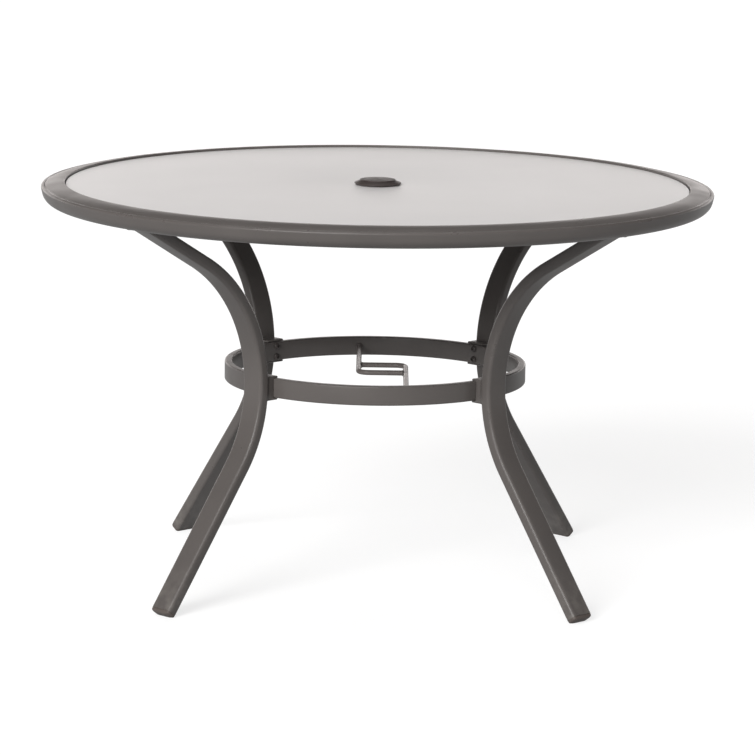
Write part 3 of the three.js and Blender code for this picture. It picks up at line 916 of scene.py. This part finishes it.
@dataclass
class UmbrellaFitting:
    """The ring that lines the umbrella hole, and the cap that closes it."""

    segments: int = 96
    bore: float = 26.0 * MM
    wall: float = 1.8 * MM
    flange_width: float = 14.7 * MM
    undercut: float = 3.2 * MM
    side_height: float = 4.4 * MM
    rise: float = 3.4 * MM
    skirt_below: float = 14.0 * MM
    ring_rub_reach: float = 0.8 * MM
    cap_lap: float = 6.6 * MM
    cap_edge: float = 2.2 * MM
    cap_round: float = 0.9 * MM
    cap_dome: float = 1.1 * MM
    cap_wall: float = 2.0 * MM
    cap_soft: float = 0.3 * MM
    cap_rub_reach: float = 0.5 * MM
    step_height: float = 0.1 * MM
    step_count: float = 3.6
    step_fade: float = 6.0 * MM
    plug_gap: float = 0.6 * MM
    plug_length: float = 11.0 * MM
    plug_round: float = 0.6 * MM
    plug_rim: float = 0.5 * MM

    @property
    def seat(self) -> float:
        """Height of the flange where the cap lies on it."""
        return PLAN.glass_top + self.side_height + self.rise

    def ring_profile(self) -> Array:
        """The ring's closed outline: skirt, flange with a rounded edge, and the cap's seat.

        Formula: straight walls between corners, each given with the radius of its rounding.

        Returns:
            The outline's (radius, height) points, anticlockwise.
        """
        g = PLAN.glass_top
        low = PLAN.glass_bottom - self.skirt_below
        skirt = self.bore + self.wall
        outer = skirt + self.flange_width
        corners = [
            (self.bore, low, 0.4 * MM),
            (skirt, low, 0.7 * MM),
            (skirt, g, 0.1 * MM),
            (outer - self.undercut, g, 0.8 * MM),
            (outer, g + self.undercut, 0.9 * MM),
            (outer, g + self.side_height, 0.6 * MM),
            (self.bore + self.cap_lap + SEAT, self.seat, 0.6 * MM),
            (self.bore, self.seat, 0.8 * MM),
        ]
        return rounded(corners, 6)

    def cap_profile(self) -> Array:
        """The cap's outline from axis to axis: dome, rounded edge, lap and hollow plug.

        Formula: the dome's height falls with the square of the radius, and three faint steps
        run round it as cosine waves that fade towards the edge.

        Returns:
            The outline's (radius, height) points, from the top down.
        """
        radius, edge, soft = self.bore + self.cap_lap, self.cap_round, self.cap_soft
        seat, top = self.seat, self.seat + self.cap_edge
        plug, low = self.bore - self.plug_gap, self.seat - self.plug_length
        hollow = plug - self.cap_wall
        r = np.linspace(0.0, radius - edge, 60)
        wave = self.step_height * np.cos(TURN * r / (radius / self.step_count))
        wave *= np.clip((radius - r) / self.step_fade, 0.0, 1.0)
        crown = (self.cap_dome - self.step_height) * (1.0 - (r / (radius - edge)) ** 2)
        dome = np.column_stack((r, top + crown + wave))
        return np.concatenate(
            (
                dome[:-1],
                arc(radius - edge, top - edge, edge, 84, 0, 6),
                arc(radius - soft, seat + soft, soft, 0, -90, 3),
                line((plug + soft, seat), (plug, seat - soft)),
                arc(plug - self.plug_round, low + self.plug_round, self.plug_round, 0, -90, 4),
                line((hollow, low), (hollow, low + self.plug_rim)),
                line((hollow, seat), (0.0, seat), 8),
            )
        )

    def build(self, bench: Bench) -> None:
        """Makes and dresses the ring and the cap.

        Args:
            bench: where the pieces are handed over.
        """
        profile = self.ring_profile()
        wear = corner_wear(profile, self.ring_rub_reach)
        ring = revolve("hole_ring", profile, self.segments, wear)
        bench.add(ring, Finish.PLASTIC, ["umbrella_ring"])
        profile = self.cap_profile()
        wear = corner_wear(profile, self.cap_rub_reach)
        cap = revolve("hole_cap", profile, self.segments, wear, closed=False)
        bench.add(cap, Finish.PLASTIC, ["umbrella_cap"], body=Body.CAP)


@dataclass(frozen=True)
class Side:
    """One of the four places of a leg, with its angle in radians round the table's axis."""

    name: str
    turn: float

    def piece(self, kind: str, grid: Array, key: str = "", **options: bool | Array) -> Piece:
        """Makes a piece at this place from a grid of points in the leg's own frame."""
        return surface(f"{kind}_{self.name}{key}", turned(grid, self.turn), **options)


SIDES = (
    Side("front_right", -math.pi / 4.0),
    Side("back_right", math.pi / 4.0),
    Side("back_left", 3.0 * math.pi / 4.0),
    Side("front_left", -3.0 * math.pi / 4.0),
)


@dataclass
class BentLeg:
    """One leg with its glide, in its own upright plane.

    The plane's first coordinate is the distance from the table's axis, and its second the height.
    """

    side: Side
    corner: float = 6.0 * MM
    corner_steps: int = 7
    crown: float = 0.9 * MM
    wall: float = 1.6 * MM
    foot_radius: float = 516.5 * MM
    foot_lift: float = 9.0 * MM
    foot_straight: float = 290.0 * MM
    top_inset: float = 57.0 * MM
    top_straight: float = 136.0 * MM
    plate_thickness: float = 2.5 * MM
    rub: float = 0.8
    rub_reach: float = 4.0 * MM
    glide_inset: float = 0.3 * MM
    glide_round: float = 5.0 * MM
    glide_taper: float = 13.0 * MM
    glide_wear: float = 1.3 * MM
    glide_seam: float = 0.06 * MM
    glide_chamfer: float = 0.15 * MM
    underside_shares: tuple[float, ...] = (PINCH, 0.4, 0.7)
    plug_gap: float = 0.6 * MM
    plug_length: float = 16.0 * MM

    @property
    def plate_bottom(self) -> float:
        """Height at which the leg's top is cut level."""
        return PLAN.rim_bottom - self.plate_thickness

    @property
    def top_radius(self) -> float:
        """Distance of the leg's top from the table's axis."""
        return PLAN.table_radius - self.top_inset

    @property
    def foot_bend(self) -> tuple[float, float]:
        """Angle and radius of the bend between the waist and the foot."""
        run, rise = self.foot_radius - PLAN.waist_radius, PLAN.waist_height - self.foot_lift
        return self.bend(run, rise, self.foot_straight)

    @property
    def top_bend(self) -> tuple[float, float]:
        """Angle and radius of the bend between the waist and the top."""
        run, rise = self.top_radius - PLAN.waist_radius, self.plate_bottom - PLAN.waist_height
        return self.bend(run, rise, self.top_straight)

    @staticmethod
    def bend(run: float, rise: float, straight: float) -> tuple[float, float]:
        """Angle in radians and radius of a bend that starts upright and ends in a straight."""
        # The angle is twice the arc tangent of run / (rise + straight), and the radius is what is
        # left of the rise beside the straight, over the angle's sine. Run and rise are how far
        # the bend and the straight together reach sideways and up or down.
        angle = 2.0 * math.atan(run / (rise + straight))
        return angle, (rise - straight * math.cos(angle)) / math.sin(angle)

    def path(self) -> tuple[Array, Array]:
        """The leg's centreline from the foot up, and its unit normals.

        Formula: straight, circular arc to the upright waist, circular arc outwards, straight. At
        a slope of a from upright the normal is (cos a, -sin a).

        Returns:
            The centreline's points and the normals, which point outwards.
        """
        low, low_radius = self.foot_bend
        high, high_radius = self.top_bend
        lower = np.linspace(-low, 0.0, 44)
        upper = np.linspace(0.0, high, 48)[1:]
        waist = (PLAN.waist_radius, PLAN.waist_height)
        down = waist + low_radius * np.column_stack((1.0 - np.cos(lower), np.sin(lower)))
        up = waist + high_radius * np.column_stack((1.0 - np.cos(upper), np.sin(upper)))
        foot = line((self.foot_radius, self.foot_lift), down[0], 10)[:-1]
        head = line(up[-1], (self.top_radius, self.plate_bottom), 8)[1:]
        slope = np.concatenate((np.full(len(foot), -low), lower, upper, np.full(len(head), high)))
        centre = np.concatenate((foot, down, up, head))
        return centre, np.column_stack((np.cos(slope), -np.sin(slope)))

    def inner_face(self, height: Array, gap: float = 0.0) -> Array:
        """Distance of the leg's inner face from the table's axis, less a gap.

        Formula: the centreline moved inwards by half the leg's depth and the gap, read at each
        height.

        Args:
            height: heights over the floor.
            gap: space to leave in front of the face.

        Returns:
            One distance for each height.
        """
        centre, normal = self.path()
        face = centre - normal * (PLAN.leg_depth / 2.0 + gap)
        return np.interp(height, face[:, 1], face[:, 0])

    def section(self, shrink: float = 0.0) -> Array:
        """The tube's outline: x runs sideways and y outwards, with a slight crown outside.

        Formula: a rounded rectangle whose outward face is lifted by crown * (1 - (x / half
        width) squared).

        Args:
            shrink: how far inside the tube's outer face the outline lies.

        Returns:
            The outline's points.
        """
        width, depth = PLAN.leg_width - 2.0 * shrink, PLAN.leg_depth - 2.0 * shrink
        outline = box_outline(width, depth, self.corner - shrink, self.corner_steps)
        x = np.linspace(1.0, -1.0, 13)[1:-1] * (width / 2.0 - self.corner)
        face = np.column_stack((x, np.full(len(x), depth / 2.0)))
        outline = np.insert(outline, 2 * (self.corner_steps + 1), face, axis=0)
        lift = self.crown * (1.0 - (outline[:, 0] / (width / 2.0)) ** 2)
        outline[:, 1] += lift * np.clip(outline[:, 1] / (depth / 2.0), 0.0, 1.0)
        return outline

    def tube_wall(self, shrink: float) -> Array:
        """One wall of the tube, its last row run on until it is level with the plate.

        Formula: the outline carried up the path, and its last points moved along the leg by
        their missing height over the cosine of the leg's slope.

        Args:
            shrink: how far inside the tube's outer face the wall lies.

        Returns:
            A grid of points with one row for each station.
        """
        centre, normal = (np.insert(flat, 1, 0.0, axis=1) for flat in self.path())
        grid = sweep(self.section(shrink), centre, ACROSS, normal)
        slope = self.top_bend[0]
        along = np.array([math.sin(slope), 0.0, math.cos(slope)])
        grid[-1] += ((self.plate_bottom - grid[-1, :, 2]) / along[2])[:, None] * along
        return grid

    def tube(self) -> Piece:
        """The leg's tube, hollow, with cut ends.

        Formula: the outer wall up the leg and the inner wall down again.

        Returns:
            The tube's object.
        """
        outer, inner = self.tube_wall(0.0), self.tube_wall(self.wall)
        grid = np.concatenate((outer, inner[::-1]))
        wear = np.zeros(grid.shape[:2])
        wear[: len(outer)] = corner_wear(self.section(), self.rub_reach) * self.rub
        return self.side.piece("leg_tube", grid, close_rows=True, wear=wear)

    def glide_ring(self, shy: float = 0.0, draw: float = 0.0) -> Array:
        """One of the glide's outlines, a rounded rectangle inside the leg's section.

        Formula: the leg's width and depth less twice the inset, the shyness, and the share of
        the taper sideways or of the rounding outwards.

        Args:
            shy: how much further in the outline lies than the glide's side.
            draw: how far it is drawn in towards the bottom, from 0 to 1.

        Returns:
            The outline's points.
        """
        width = PLAN.leg_width - 2.0 * (self.glide_inset + shy + self.glide_taper * draw)
        depth = PLAN.leg_depth - 2.0 * (self.glide_inset + shy + self.glide_round * draw)
        corner = self.corner - (self.glide_inset + self.glide_round * draw) / 2.0
        return box_outline(width, depth, corner, 6)

    def glide(self) -> Piece:
        """The glide: a rounded cap below the tube and a plug inside it, worn flat at the floor.

        Formula: rounded rectangles across the leg, drawn in towards the bottom along a quarter
        ellipse that is wider sideways. Whatever would lie below the floor is pressed up to it.

        Returns:
            The glide's object.
        """
        slope, soft, seam = self.foot_bend[0], self.glide_round, self.glide_seam
        edge = PLAN.leg_depth / 2.0 - self.glide_inset - soft
        drop = self.foot_lift + self.glide_wear - soft - edge * math.sin(slope)
        thickness = soft + drop / math.cos(slope)
        quarter = np.radians(np.linspace(90.0, 0.0, 9))
        caps = [self.glide_ring(0.0, 1.0 - math.cos(a)) for a in quarter]
        plug = 2.0 * (self.wall + self.plug_gap)
        inside = box_outline(PLAN.leg_width - plug, PLAN.leg_depth - plug, self.corner, 6)
        rings = [(caps[0] * share, thickness) for share in self.underside_shares]
        rings += zip(caps, thickness - soft + soft * np.sin(quarter))
        rings += [
            (self.glide_ring(), seam + self.glide_chamfer),
            (self.glide_ring(self.glide_chamfer), seam),
            (inside, seam),
            (inside, -self.plug_length),
            (inside * PINCH, -self.plug_length),
        ]
        outward = np.array([math.cos(slope), 0.0, math.sin(slope)])
        upward = np.array([-math.sin(slope), 0.0, math.cos(slope)])
        base = np.array([self.foot_radius, 0.0, self.foot_lift])
        depth = np.array([d for _, d in rings])
        outlines = np.stack([outline for outline, _ in rings])
        grid = sweep(outlines, base - depth[:, None] * upward, ACROSS, outward)
        grid[..., 2] = np.maximum(grid[..., 2], 0.0)
        return self.side.piece("glide_cap", grid, caps=True)

    def build(self, bench: Bench) -> None:
        """Makes and dresses everything that belongs to this leg.

        Args:
            bench: where the pieces are handed over.
        """
        name = self.side.name
        bench.add(self.tube(), Finish.COAT, [f"leg_{name}"])
        bench.add(self.glide(), Finish.GLIDE_PLASTIC, [f"glide_{name}"])
        Saddle(self).build(bench)
        bench.dress_node(f"top_plate_{name}", Finish.COAT)
        for key in ("a", "b"):
            bench.dress_node(f"plate_screw_{name}_{key}", Finish.FASTENER)
        for key in ("upper", "lower"):
            bench.dress_node(f"insert_{name}_{key}", Finish.INSERT)


@dataclass
class Saddle:
    """The bracket between a leg and the stretcher, its two bolts and the weld round it."""

    leg: BentLeg
    width: float = 40.0 * MM
    lip: float = 3.9 * MM
    grip: float = 10.0 * MM
    edge: float = 1.2 * MM
    nose_round: float = 2.4 * MM
    mouth_round: float = 1.3 * MM
    pocket_round: float = 3.0 * MM
    back_round: float = 0.02 * MM
    rub_reach: float = 1.5 * MM
    bolt_spacing: float = 20.5 * MM
    bolt_head: float = 6.6 * MM
    bolt_height: float = 4.2 * MM
    bolt_chamfer: Span = (0.4 * MM, 0.5 * MM)
    bolt_rub: float = 0.8
    dome_angles: Span = (8.0, 62.0)
    shank: float = 4.0 * MM
    shank_reach: float = 11.0 * MM
    shank_chamfer: float = 0.8 * MM
    socket: float = 5.0 * MM
    socket_depth: float = 2.4 * MM
    socket_mouth: float = 1.08
    socket_chamfer: float = 0.25 * MM
    socket_cone: float = 0.5 * MM
    weld: float = 2.6 * MM
    weld_corner: float = 3.0 * MM
    weld_shy: Span = (1.0 * MM, 0.6 * MM)
    weld_points: int = 180
    ripple_count: int = 44
    ripple: float = 0.10

    @property
    def half_height(self) -> float:
        """Half the height of the bracket's mouth."""
        return PLAN.stretcher_height / 2.0 + SEAT

    def outline(self) -> Array:
        """The bracket's C-shaped outline in the leg's plane, anticlockwise.

        Formula: the back follows the leg's inner face, and the pocket follows the stretcher's
        section.

        Returns:
            The outline's (radius, height) points.
        """
        p = PLAN
        middle, half = p.stretcher_middle, self.half_height
        bottom, top = middle - half - self.lip, middle + half + self.lip
        mouth, pocket = p.stretcher_radius - self.grip, p.stretcher_radius + SEAT
        height = np.linspace(bottom, top, 13)
        back = np.column_stack((self.leg.inner_face(height, SEAT), height))
        corners = [
            (mouth, bottom, self.nose_round),
            *((*point, self.back_round) for point in back),
            (mouth, top, self.nose_round),
            (mouth, middle + half, self.mouth_round),
            (pocket, middle + half, self.pocket_round),
            (pocket, middle - half, self.pocket_round),
            (mouth, middle - half, self.mouth_round),
        ]
        return rounded(corners, 5)

    def bracket(self) -> Piece:
        """The bracket's body with rounded side edges.

        Formula: the outline carried sideways, drawn in along a quarter circle at both ends, and
        moved inwards with the stretcher's roundness, by R - sqrt(R^2 - t^2) at a distance t
        from the middle. The back, which lies on the flat leg, isn't moved.

        Returns:
            The bracket's object.
        """
        p = PLAN
        outline = self.outline()
        quarter = np.radians(np.linspace(0.0, 90.0, 5))
        draw = self.edge * (1.0 - np.cos(quarter))
        flat = self.width / 2.0 - self.edge
        place = flat + self.edge * np.sin(quarter)
        middle = np.linspace(-1.0, 1.0, 9)[1:-1] * flat
        where = np.concatenate((-place[::-1], middle, place))
        shrink = np.concatenate((draw[::-1], np.zeros(len(middle)), draw))
        rows = np.stack([inset(outline, distance) for distance in shrink])
        fall = p.stretcher_radius - np.sqrt(p.stretcher_radius**2 - where**2)
        share = np.clip((p.leg_inner_face - rows[..., 0]) / p.saddle_web, 0.0, 1.0)
        radius = rows[..., 0] - fall[:, None] * share
        sideways = np.broadcast_to(where[:, None], radius.shape)
        grid = np.stack((radius, sideways, rows[..., 1]), axis=-1)
        wear = np.broadcast_to(corner_wear(outline, self.rub_reach), radius.shape)
        return self.leg.side.piece("saddle_block", grid, caps=True, wear=wear)

    def bead(self) -> Piece:
        """The weld round the bracket where it meets the leg: a rippled fillet.

        Formula: a small circle carried round a rounded rectangle on the leg's inner face, its
        radius rippled by a sine along the way. Past the flat of the face the path follows the
        tube's rounded corner.

        Returns:
            The weld's object.
        """
        p, leg = PLAN, self.leg
        wide, high = self.width - self.weld_shy[0], 2.0 * (self.half_height + self.lip)
        loop = box_outline(wide, high - self.weld_shy[1], self.weld_corner, 6)
        loop = resample(loop, self.weld_points)
        z = loop[:, 1] + p.stretcher_middle
        past = np.clip(np.abs(loop[:, 0]) - (p.leg_width / 2.0 - leg.corner), 0.0, None)
        fall = leg.corner - np.sqrt(np.maximum(leg.corner**2 - past**2, 0.0))
        space = np.column_stack((leg.inner_face(z) + fall, loop[:, 0], z))
        ahead = unit(np.roll(space, -1, axis=0) - np.roll(space, 1, axis=0))
        inwards = unit(INWARDS - ahead * (ahead @ INWARDS)[:, None])
        along = np.arange(len(loop)) / len(loop)
        radius = self.weld / 2.0 * (1.0 + self.ripple * np.sin(TURN * self.ripple_count * along))
        across = np.cross(ahead, inwards)
        grid = sweep(circle(12) * radius[:, None, None], space, across, inwards)
        return leg.side.piece("saddle_weld", grid, close_rows=True)

    def bolt(self, key: str, height: float) -> Piece:
        """A button head bolt with a hexagon socket.

        Formula: rings round the bolt's axis, each at its own depth behind the head's seat. The
        head's rings are circles on an arc, and the socket's are hexagons, whose radius is the
        flat's half width over the cosine of the angle to the nearest flat's middle.

        Args:
            key: which of the two bolts this is.
            height: height of the bolt's axis.

        Returns:
            The bolt's object.
        """
        inner, head, shank = PLAN.stretcher_inner, self.bolt_head, self.shank
        seat = inner - head**2 / (2.0 * inner) - SEAT
        end, top = PLAN.leg_inner_face + self.shank_reach - seat, -self.bolt_height
        spokes = circle(48)
        angle = np.arctan2(spokes[:, 1], spokes[:, 0])
        nearest = np.mod(angle, TURN / 6.0) - TURN / 12.0
        hexagon = self.socket / 2.0 / np.cos(nearest)
        dome = np.radians(np.linspace(*self.dome_angles, 9))
        rings = [
            (0.0, end),
            (shank - self.shank_chamfer, end),
            (shank, end - self.shank_chamfer),
            (shank, 0.0),
            (head - self.bolt_chamfer[0], 0.0),
            (head, -self.bolt_chamfer[1]),
            *zip(head * np.cos(dome) / np.cos(dome[0]), top * np.sin(dome) / np.sin(dome[-1])),
            (hexagon * self.socket_mouth, top),
            (hexagon, top + self.socket_chamfer),
            (hexagon, top + self.socket_depth),
            (0.0, top + self.socket_depth + self.socket_cone),
        ]
        radius = np.stack([np.broadcast_to(r, len(spokes)) for r, _ in rings])
        depth = np.array([d for _, d in rings])
        centre = np.column_stack((seat + depth, 0.0 * depth, 0.0 * depth + height))
        grid = sweep(spokes * radius[..., None], centre, -ACROSS, UP)
        wear = np.zeros_like(radius)
        wear[5:9] = self.bolt_rub  # the rings at the head's edge
        return self.leg.side.piece("bolt_head", grid, f"_{key}", wear=wear)

    def build(self, bench: Bench) -> None:
        """Makes and dresses the bracket, its weld and its bolts.

        Args:
            bench: where the pieces are handed over.
        """
        name = self.leg.side.name
        bench.add(self.bracket(), Finish.COAT, [f"saddle_{name}"])
        bench.add(self.bead(), Finish.COAT)
        for key, sign in (("upper", 1.0), ("lower", -1.0)):
            height = PLAN.stretcher_middle + sign * self.bolt_spacing / 2.0
            bench.add(self.bolt(key, height), Finish.FASTENER, [f"bolt_{name}_{key}"])


@dataclass
class Stretcher:
    """The ring between the legs and the two guide rods across it."""

    segments: int = 240
    corner: float = 3.0 * MM
    rub_reach: float = 2.4 * MM
    rod_radius: float = 4.75 * MM
    rod_bend: float = 19.0 * MM
    rod_left: float = -30.0 * MM
    rod_right: float = 56.0 * MM
    rod_front: float = -32.0 * MM
    rod_back: float = 50.0 * MM
    sink_ring: float = 1.0 * MM
    sink_rod: float = 0.6 * MM
    flare: float = 2.6 * MM
    flare_lift: float = 0.05 * MM
    flare_sink: float = 0.4 * MM
    ripple_count: int = 9
    ripple: float = 0.05

    def reach(self, x: float) -> float:
        """Distance from the X axis to the ring's inner face, straight along Y."""
        return math.sqrt(PLAN.stretcher_inner**2 - x**2)

    def ring(self) -> Piece:
        """The stretcher's tube.

        Formula: a rectangle with rounded corners turned round the table's axis.

        Returns:
            The ring's object.
        """
        p = PLAN
        outline = box_outline(p.stretcher_thickness, p.stretcher_height, self.corner, 7)
        middle = p.stretcher_radius - p.stretcher_thickness / 2.0
        wear = corner_wear(outline, self.rub_reach)
        profile = outline + (middle, p.stretcher_middle)
        return revolve("stretcher_tube", profile, self.segments, wear)

    def rod_path(self, x: float, y: float, other: float) -> tuple[Array, Array]:
        """A rod's centreline and unit tangents, for a rod that comes from the back.

        Formula: straight in along -Y, a quarter circle, and straight across along +X.

        Args:
            x: where the rod comes in.
            y: where it crosses.
            other: x of the other rod's axis, where it ends.

        Returns:
            The centreline's points and the tangents.
        """
        bend, quarter = self.rod_bend, math.pi / 2.0
        long = line((x, self.reach(x) + self.sink_ring), (x, y + bend), 6)[:-1]
        turn = arc(x + bend, y + bend, bend, 180, 270, 12)
        cross = line((x + bend, y), (other - self.rod_radius + self.sink_rod, y), 4)[1:]
        angle = np.linspace(-quarter, 0.0, len(turn))
        angle = np.pad(angle, (len(long), len(cross)), mode="edge")
        centre = np.concatenate((long, turn, cross))
        space = np.column_stack((centre, np.full(len(centre), PLAN.stretcher_middle)))
        tangent = np.column_stack((np.cos(angle), np.sin(angle), np.zeros(len(angle))))
        return space, tangent

    def rod(self, name: str, x: float, y: float, other: float, turn: float) -> Piece:
        """One bent rod.

        Formula: a circle carried along the rod's path.

        Args:
            name: name of the piece.
            x: where the rod comes in.
            y: where it crosses.
            other: x of the other rod's axis, where it ends.
            turn: angle by which the finished rod is turned round the table's axis.

        Returns:
            The rod's object.
        """
        space, tangent = self.rod_path(x, y, other)
        grid = sweep(circle(24) * self.rod_radius, space, np.cross(tangent, UP), UP)
        return surface(name, turned(grid, turn), caps=True)

    def weld(self, name: str, place: Array, along: Array) -> Piece:
        """The flared weld at a rod's end.

        Formula: rings round the rod whose radius grows as a quarter circle towards the face
        that the rod meets, with a slight ripple round them.

        Args:
            name: name of the piece.
            place: point on the rod's axis where the face is.
            along: unit vector from the face back along the rod.

        Returns:
            The weld's object.
        """
        quarter = np.radians(np.linspace(0.0, 90.0, 8))
        radius = self.rod_radius + self.flare_lift + self.flare * (1.0 - np.sin(quarter))
        radius = np.pad(radius, 1, constant_values=self.rod_radius / 2.0)[:, None]
        depth = np.pad(self.flare * (1.0 - np.cos(quarter)) - self.flare_sink, 1, mode="edge")
        spokes = circle(40)
        angle = np.arctan2(spokes[:, 1], spokes[:, 0])
        ripple = self.ripple * np.sin(self.ripple_count * angle) * (radius > self.rod_radius)
        outlines = spokes * (radius * (1.0 + ripple))[..., None]
        grid = sweep(outlines, place + depth[:, None] * along, np.cross(along, UP), UP)
        return surface(name, grid, caps=True)

    def build(self, bench: Bench) -> None:
        """Makes and dresses the ring, the rods and their welds.

        Args:
            bench: where the pieces are handed over.
        """
        bench.add(self.ring(), Finish.COAT, ["stretcher_ring"])
        left, right, front, back = self.rod_left, self.rod_right, self.rod_front, self.rod_back
        rod = self.rod("rod_from_back", left, front, right, 0.0)
        bench.add(rod, Finish.ROD_COAT_PAINTED_LIGHT, ["guide_rod_back"])
        rod = self.rod("rod_from_front", -right, -back, -left, math.pi)
        bench.add(rod, Finish.ROD_COAT_PAINTED_LIGHT, ["guide_rod_front"])
        places = (
            ("weld_back_ring", (left, self.reach(left)), (0.0, -1.0, 0.0)),
            ("weld_front_ring", (right, -self.reach(right)), (0.0, 1.0, 0.0)),
            ("weld_right_rod", (right - self.rod_radius, front), (-1.0, 0.0, 0.0)),
            ("weld_left_rod", (left + self.rod_radius, back), (1.0, 0.0, 0.0)),
        )
        for name, place, along in places:
            spot = np.array((*place, PLAN.stretcher_middle))
            bench.add(self.weld(name, spot, np.array(along)), Finish.COAT)


# Studio


@dataclass(frozen=True)
class Lamp:
    """A broad distant lamp.

    The azimuth is where it shines from: 0 from the front, 90 from the right. Angles in degrees.
    A lamp that is not mirrored lights the table but makes no gleam on it.
    """

    name: str
    azimuth: float
    elevation: float
    strength: float
    breadth: float
    mirrored: bool = True

    def build(self) -> None:
        """Makes the lamp and turns it to the table."""
        data = bpy.data.lights.new(self.name, "SUN")
        data.energy = self.strength
        data.angle = math.radians(self.breadth)
        lamp = bpy.data.objects.new(self.name, data)
        lamp.visible_glossy = self.mirrored
        a, e = math.radians(self.azimuth), math.radians(self.elevation)
        source = Vector((math.sin(a) * math.cos(e), -math.cos(a) * math.cos(e), math.sin(e)))
        lamp.rotation_mode = "QUATERNION"
        lamp.rotation_quaternion = (-source).to_track_quat("-Z", "Y")
        bpy.context.scene.collection.objects.link(lamp)


@dataclass
class Studio:
    """Floor, light and camera.

    A ramp gives the range of a direction's coordinate and the shares at its two ends.
    """

    focal_length: float = 199.78
    sensor: float = 36.0
    far_end: float = 200.0
    distance: float = 7.5514
    height: float = 1.6959
    pitch: float = 0.17414
    roll: float = 0.01465
    yaw: float = 0.00063
    floor_half: float = 60.0
    floor_shade: float = 0.35
    floor_glow: float = 0.735
    floor_gloss: float = 0.18
    floor_bounce: float = 0.11
    ambient: float = 0.16
    backdrop: float = 2.0
    ceiling: float = 0.05
    low_ramp: Ramp = (0.10, 0.36, 1.0, 0.0)
    behind_ramp: Ramp = (0.35, 0.9, 0.1, 1.0)
    aside_ramp: Ramp = (0.0, 0.11, 0.64, 1.0)
    fill_tone: Colour = (1.0, 0.945, 0.925)
    seen_tone: Colour = (1.0, 1.0, 1.0)
    lamps: tuple[Lamp, ...] = (
        Lamp("key_lamp", -27.0, 26.0, 2.5, 24.0, mirrored=False),
        Lamp("soft_lamp", -22.0, 28.0, 1.5, 46.0),
        Lamp("top_lamp", 180.0, 78.0, 0.42, 50.0),
        Lamp("back_lamp", 180.0, 14.0, 1.2, 60.0, mirrored=False),
    )

    def camera(self) -> None:
        """Places the camera as the photograph has it.

        Formula: forward is the level direction of the yaw turned down by the pitch, and right
        and up are turned about forward by the roll.
        """
        ahead, aside = math.cos(self.yaw), math.sin(self.yaw)
        level, drop = math.cos(self.pitch), -math.sin(self.pitch)
        forward = Vector((aside * level, ahead * level, drop))
        flat = Vector((ahead, -aside, 0.0))
        above = flat.cross(forward)
        right = flat * math.cos(self.roll) + above * math.sin(self.roll)
        up = above * math.cos(self.roll) - flat * math.sin(self.roll)
        data = bpy.data.cameras.new("camera")
        data.lens = self.focal_length
        data.sensor_width = self.sensor
        data.clip_end = self.far_end
        camera = bpy.data.objects.new("camera", data)
        place = Matrix.Translation((0.0, -self.distance, self.height))
        camera.matrix_world = place @ Matrix((right, up, -forward)).transposed().to_4x4()
        bpy.context.scene.collection.objects.link(camera)
        bpy.context.scene.camera = camera

    def world(self) -> None:
        """White where it is seen, a backdrop in reflections and an even dim light elsewhere.

        Formula: reflections see the backdrop near the horizon behind the table, and it fades
        towards the ceiling and the front with two ramps of the direction. A third ramp makes it
        a little darker straight behind.
        """
        world = bpy.data.worlds.new("studio_light")
        bpy.context.scene.world = world
        nodes = Nodes(world)
        way = nodes.add("TexCoord", {}, "Generated")
        x, y, z = (nodes.add("SeparateXYZ", {0: way}, axis) for axis in "XYZ")
        low, behind = nodes.ramp(z, *self.low_ramp), nodes.ramp(y, *self.behind_ramp)
        aside = nodes.ramp(nodes.maths("ABSOLUTE", x), *self.aside_ramp)
        share = nodes.maths("MULTIPLY", nodes.maths("MULTIPLY", low, behind), aside)
        gloss = nodes.ramp(share, 0.0, 1.0, self.ceiling, self.backdrop)
        light = nodes.ramp(nodes.ray("Is Glossy Ray"), 0.0, 1.0, self.ambient, gloss)
        seen = nodes.seen()
        strength = nodes.ramp(seen, 0.0, 1.0, light, 1.0)
        tone = nodes.blend(seen, self.fill_tone, self.seen_tone)
        glow = nodes.add("Background", {"Color": tone, "Strength": strength})
        nodes.end("OutputWorld", glow)

    def floor(self) -> None:
        """A wide pale floor that looks white and keeps the table's shadow."""
        h = self.floor_half
        mesh = bpy.data.meshes.new("studio_floor")
        spots = [(-h, -h, 0.0), (h, -h, 0.0), (h, h, 0.0), (-h, h, 0.0)]
        mesh.from_pydata(spots, [], [(0, 1, 2, 3)])
        floor = bpy.data.objects.new("studio_floor", mesh)
        bpy.context.scene.collection.objects.link(floor)
        material = bpy.data.materials.new("studio_floor")
        nodes = Nodes(material)
        gloss = nodes.maths("MULTIPLY", nodes.ray("Is Glossy Ray"), self.floor_gloss)
        bounce = nodes.ray("Is Diffuse Ray")
        light = nodes.maths("MULTIPLY_ADD", bounce, self.floor_bounce, gloss)
        strength = nodes.ramp(nodes.seen(), 0.0, 1.0, light, self.floor_glow)
        glow = nodes.add("Emission", {"Strength": strength})
        diffuse = nodes.add("BsdfDiffuse", {"Color": (*[self.floor_shade] * 3, 1.0)})
        nodes.end("OutputMaterial", nodes.add("AddShader", {0: diffuse, 1: glow}))
        mesh.materials.append(material)

    def build(self) -> None:
        """Sets up the whole studio."""
        bpy.context.scene.view_settings.view_transform = "Standard"
        self.world()
        self.floor()
        for lamp in self.lamps:
            lamp.build()
        self.camera()


def corners(box: tuple[Vector, Vector]) -> list[list[float]]:
    """A box's two corners as plain lists."""
    return [[float(v) for v in corner] for corner in box]


def main() -> None:
    """Builds the sub-assemblies in order, then the studio."""
    logging.basicConfig(level=logging.INFO, format="%(name)s: %(message)s")
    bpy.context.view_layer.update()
    bench = Bench(Finishes())
    TableTop().build(bench)
    UmbrellaFitting().build(bench)
    Stretcher().build(bench)
    for side in SIDES:
        BentLeg(side).build(bench)
    Studio().build()


if __name__ == "__main__":
    main()
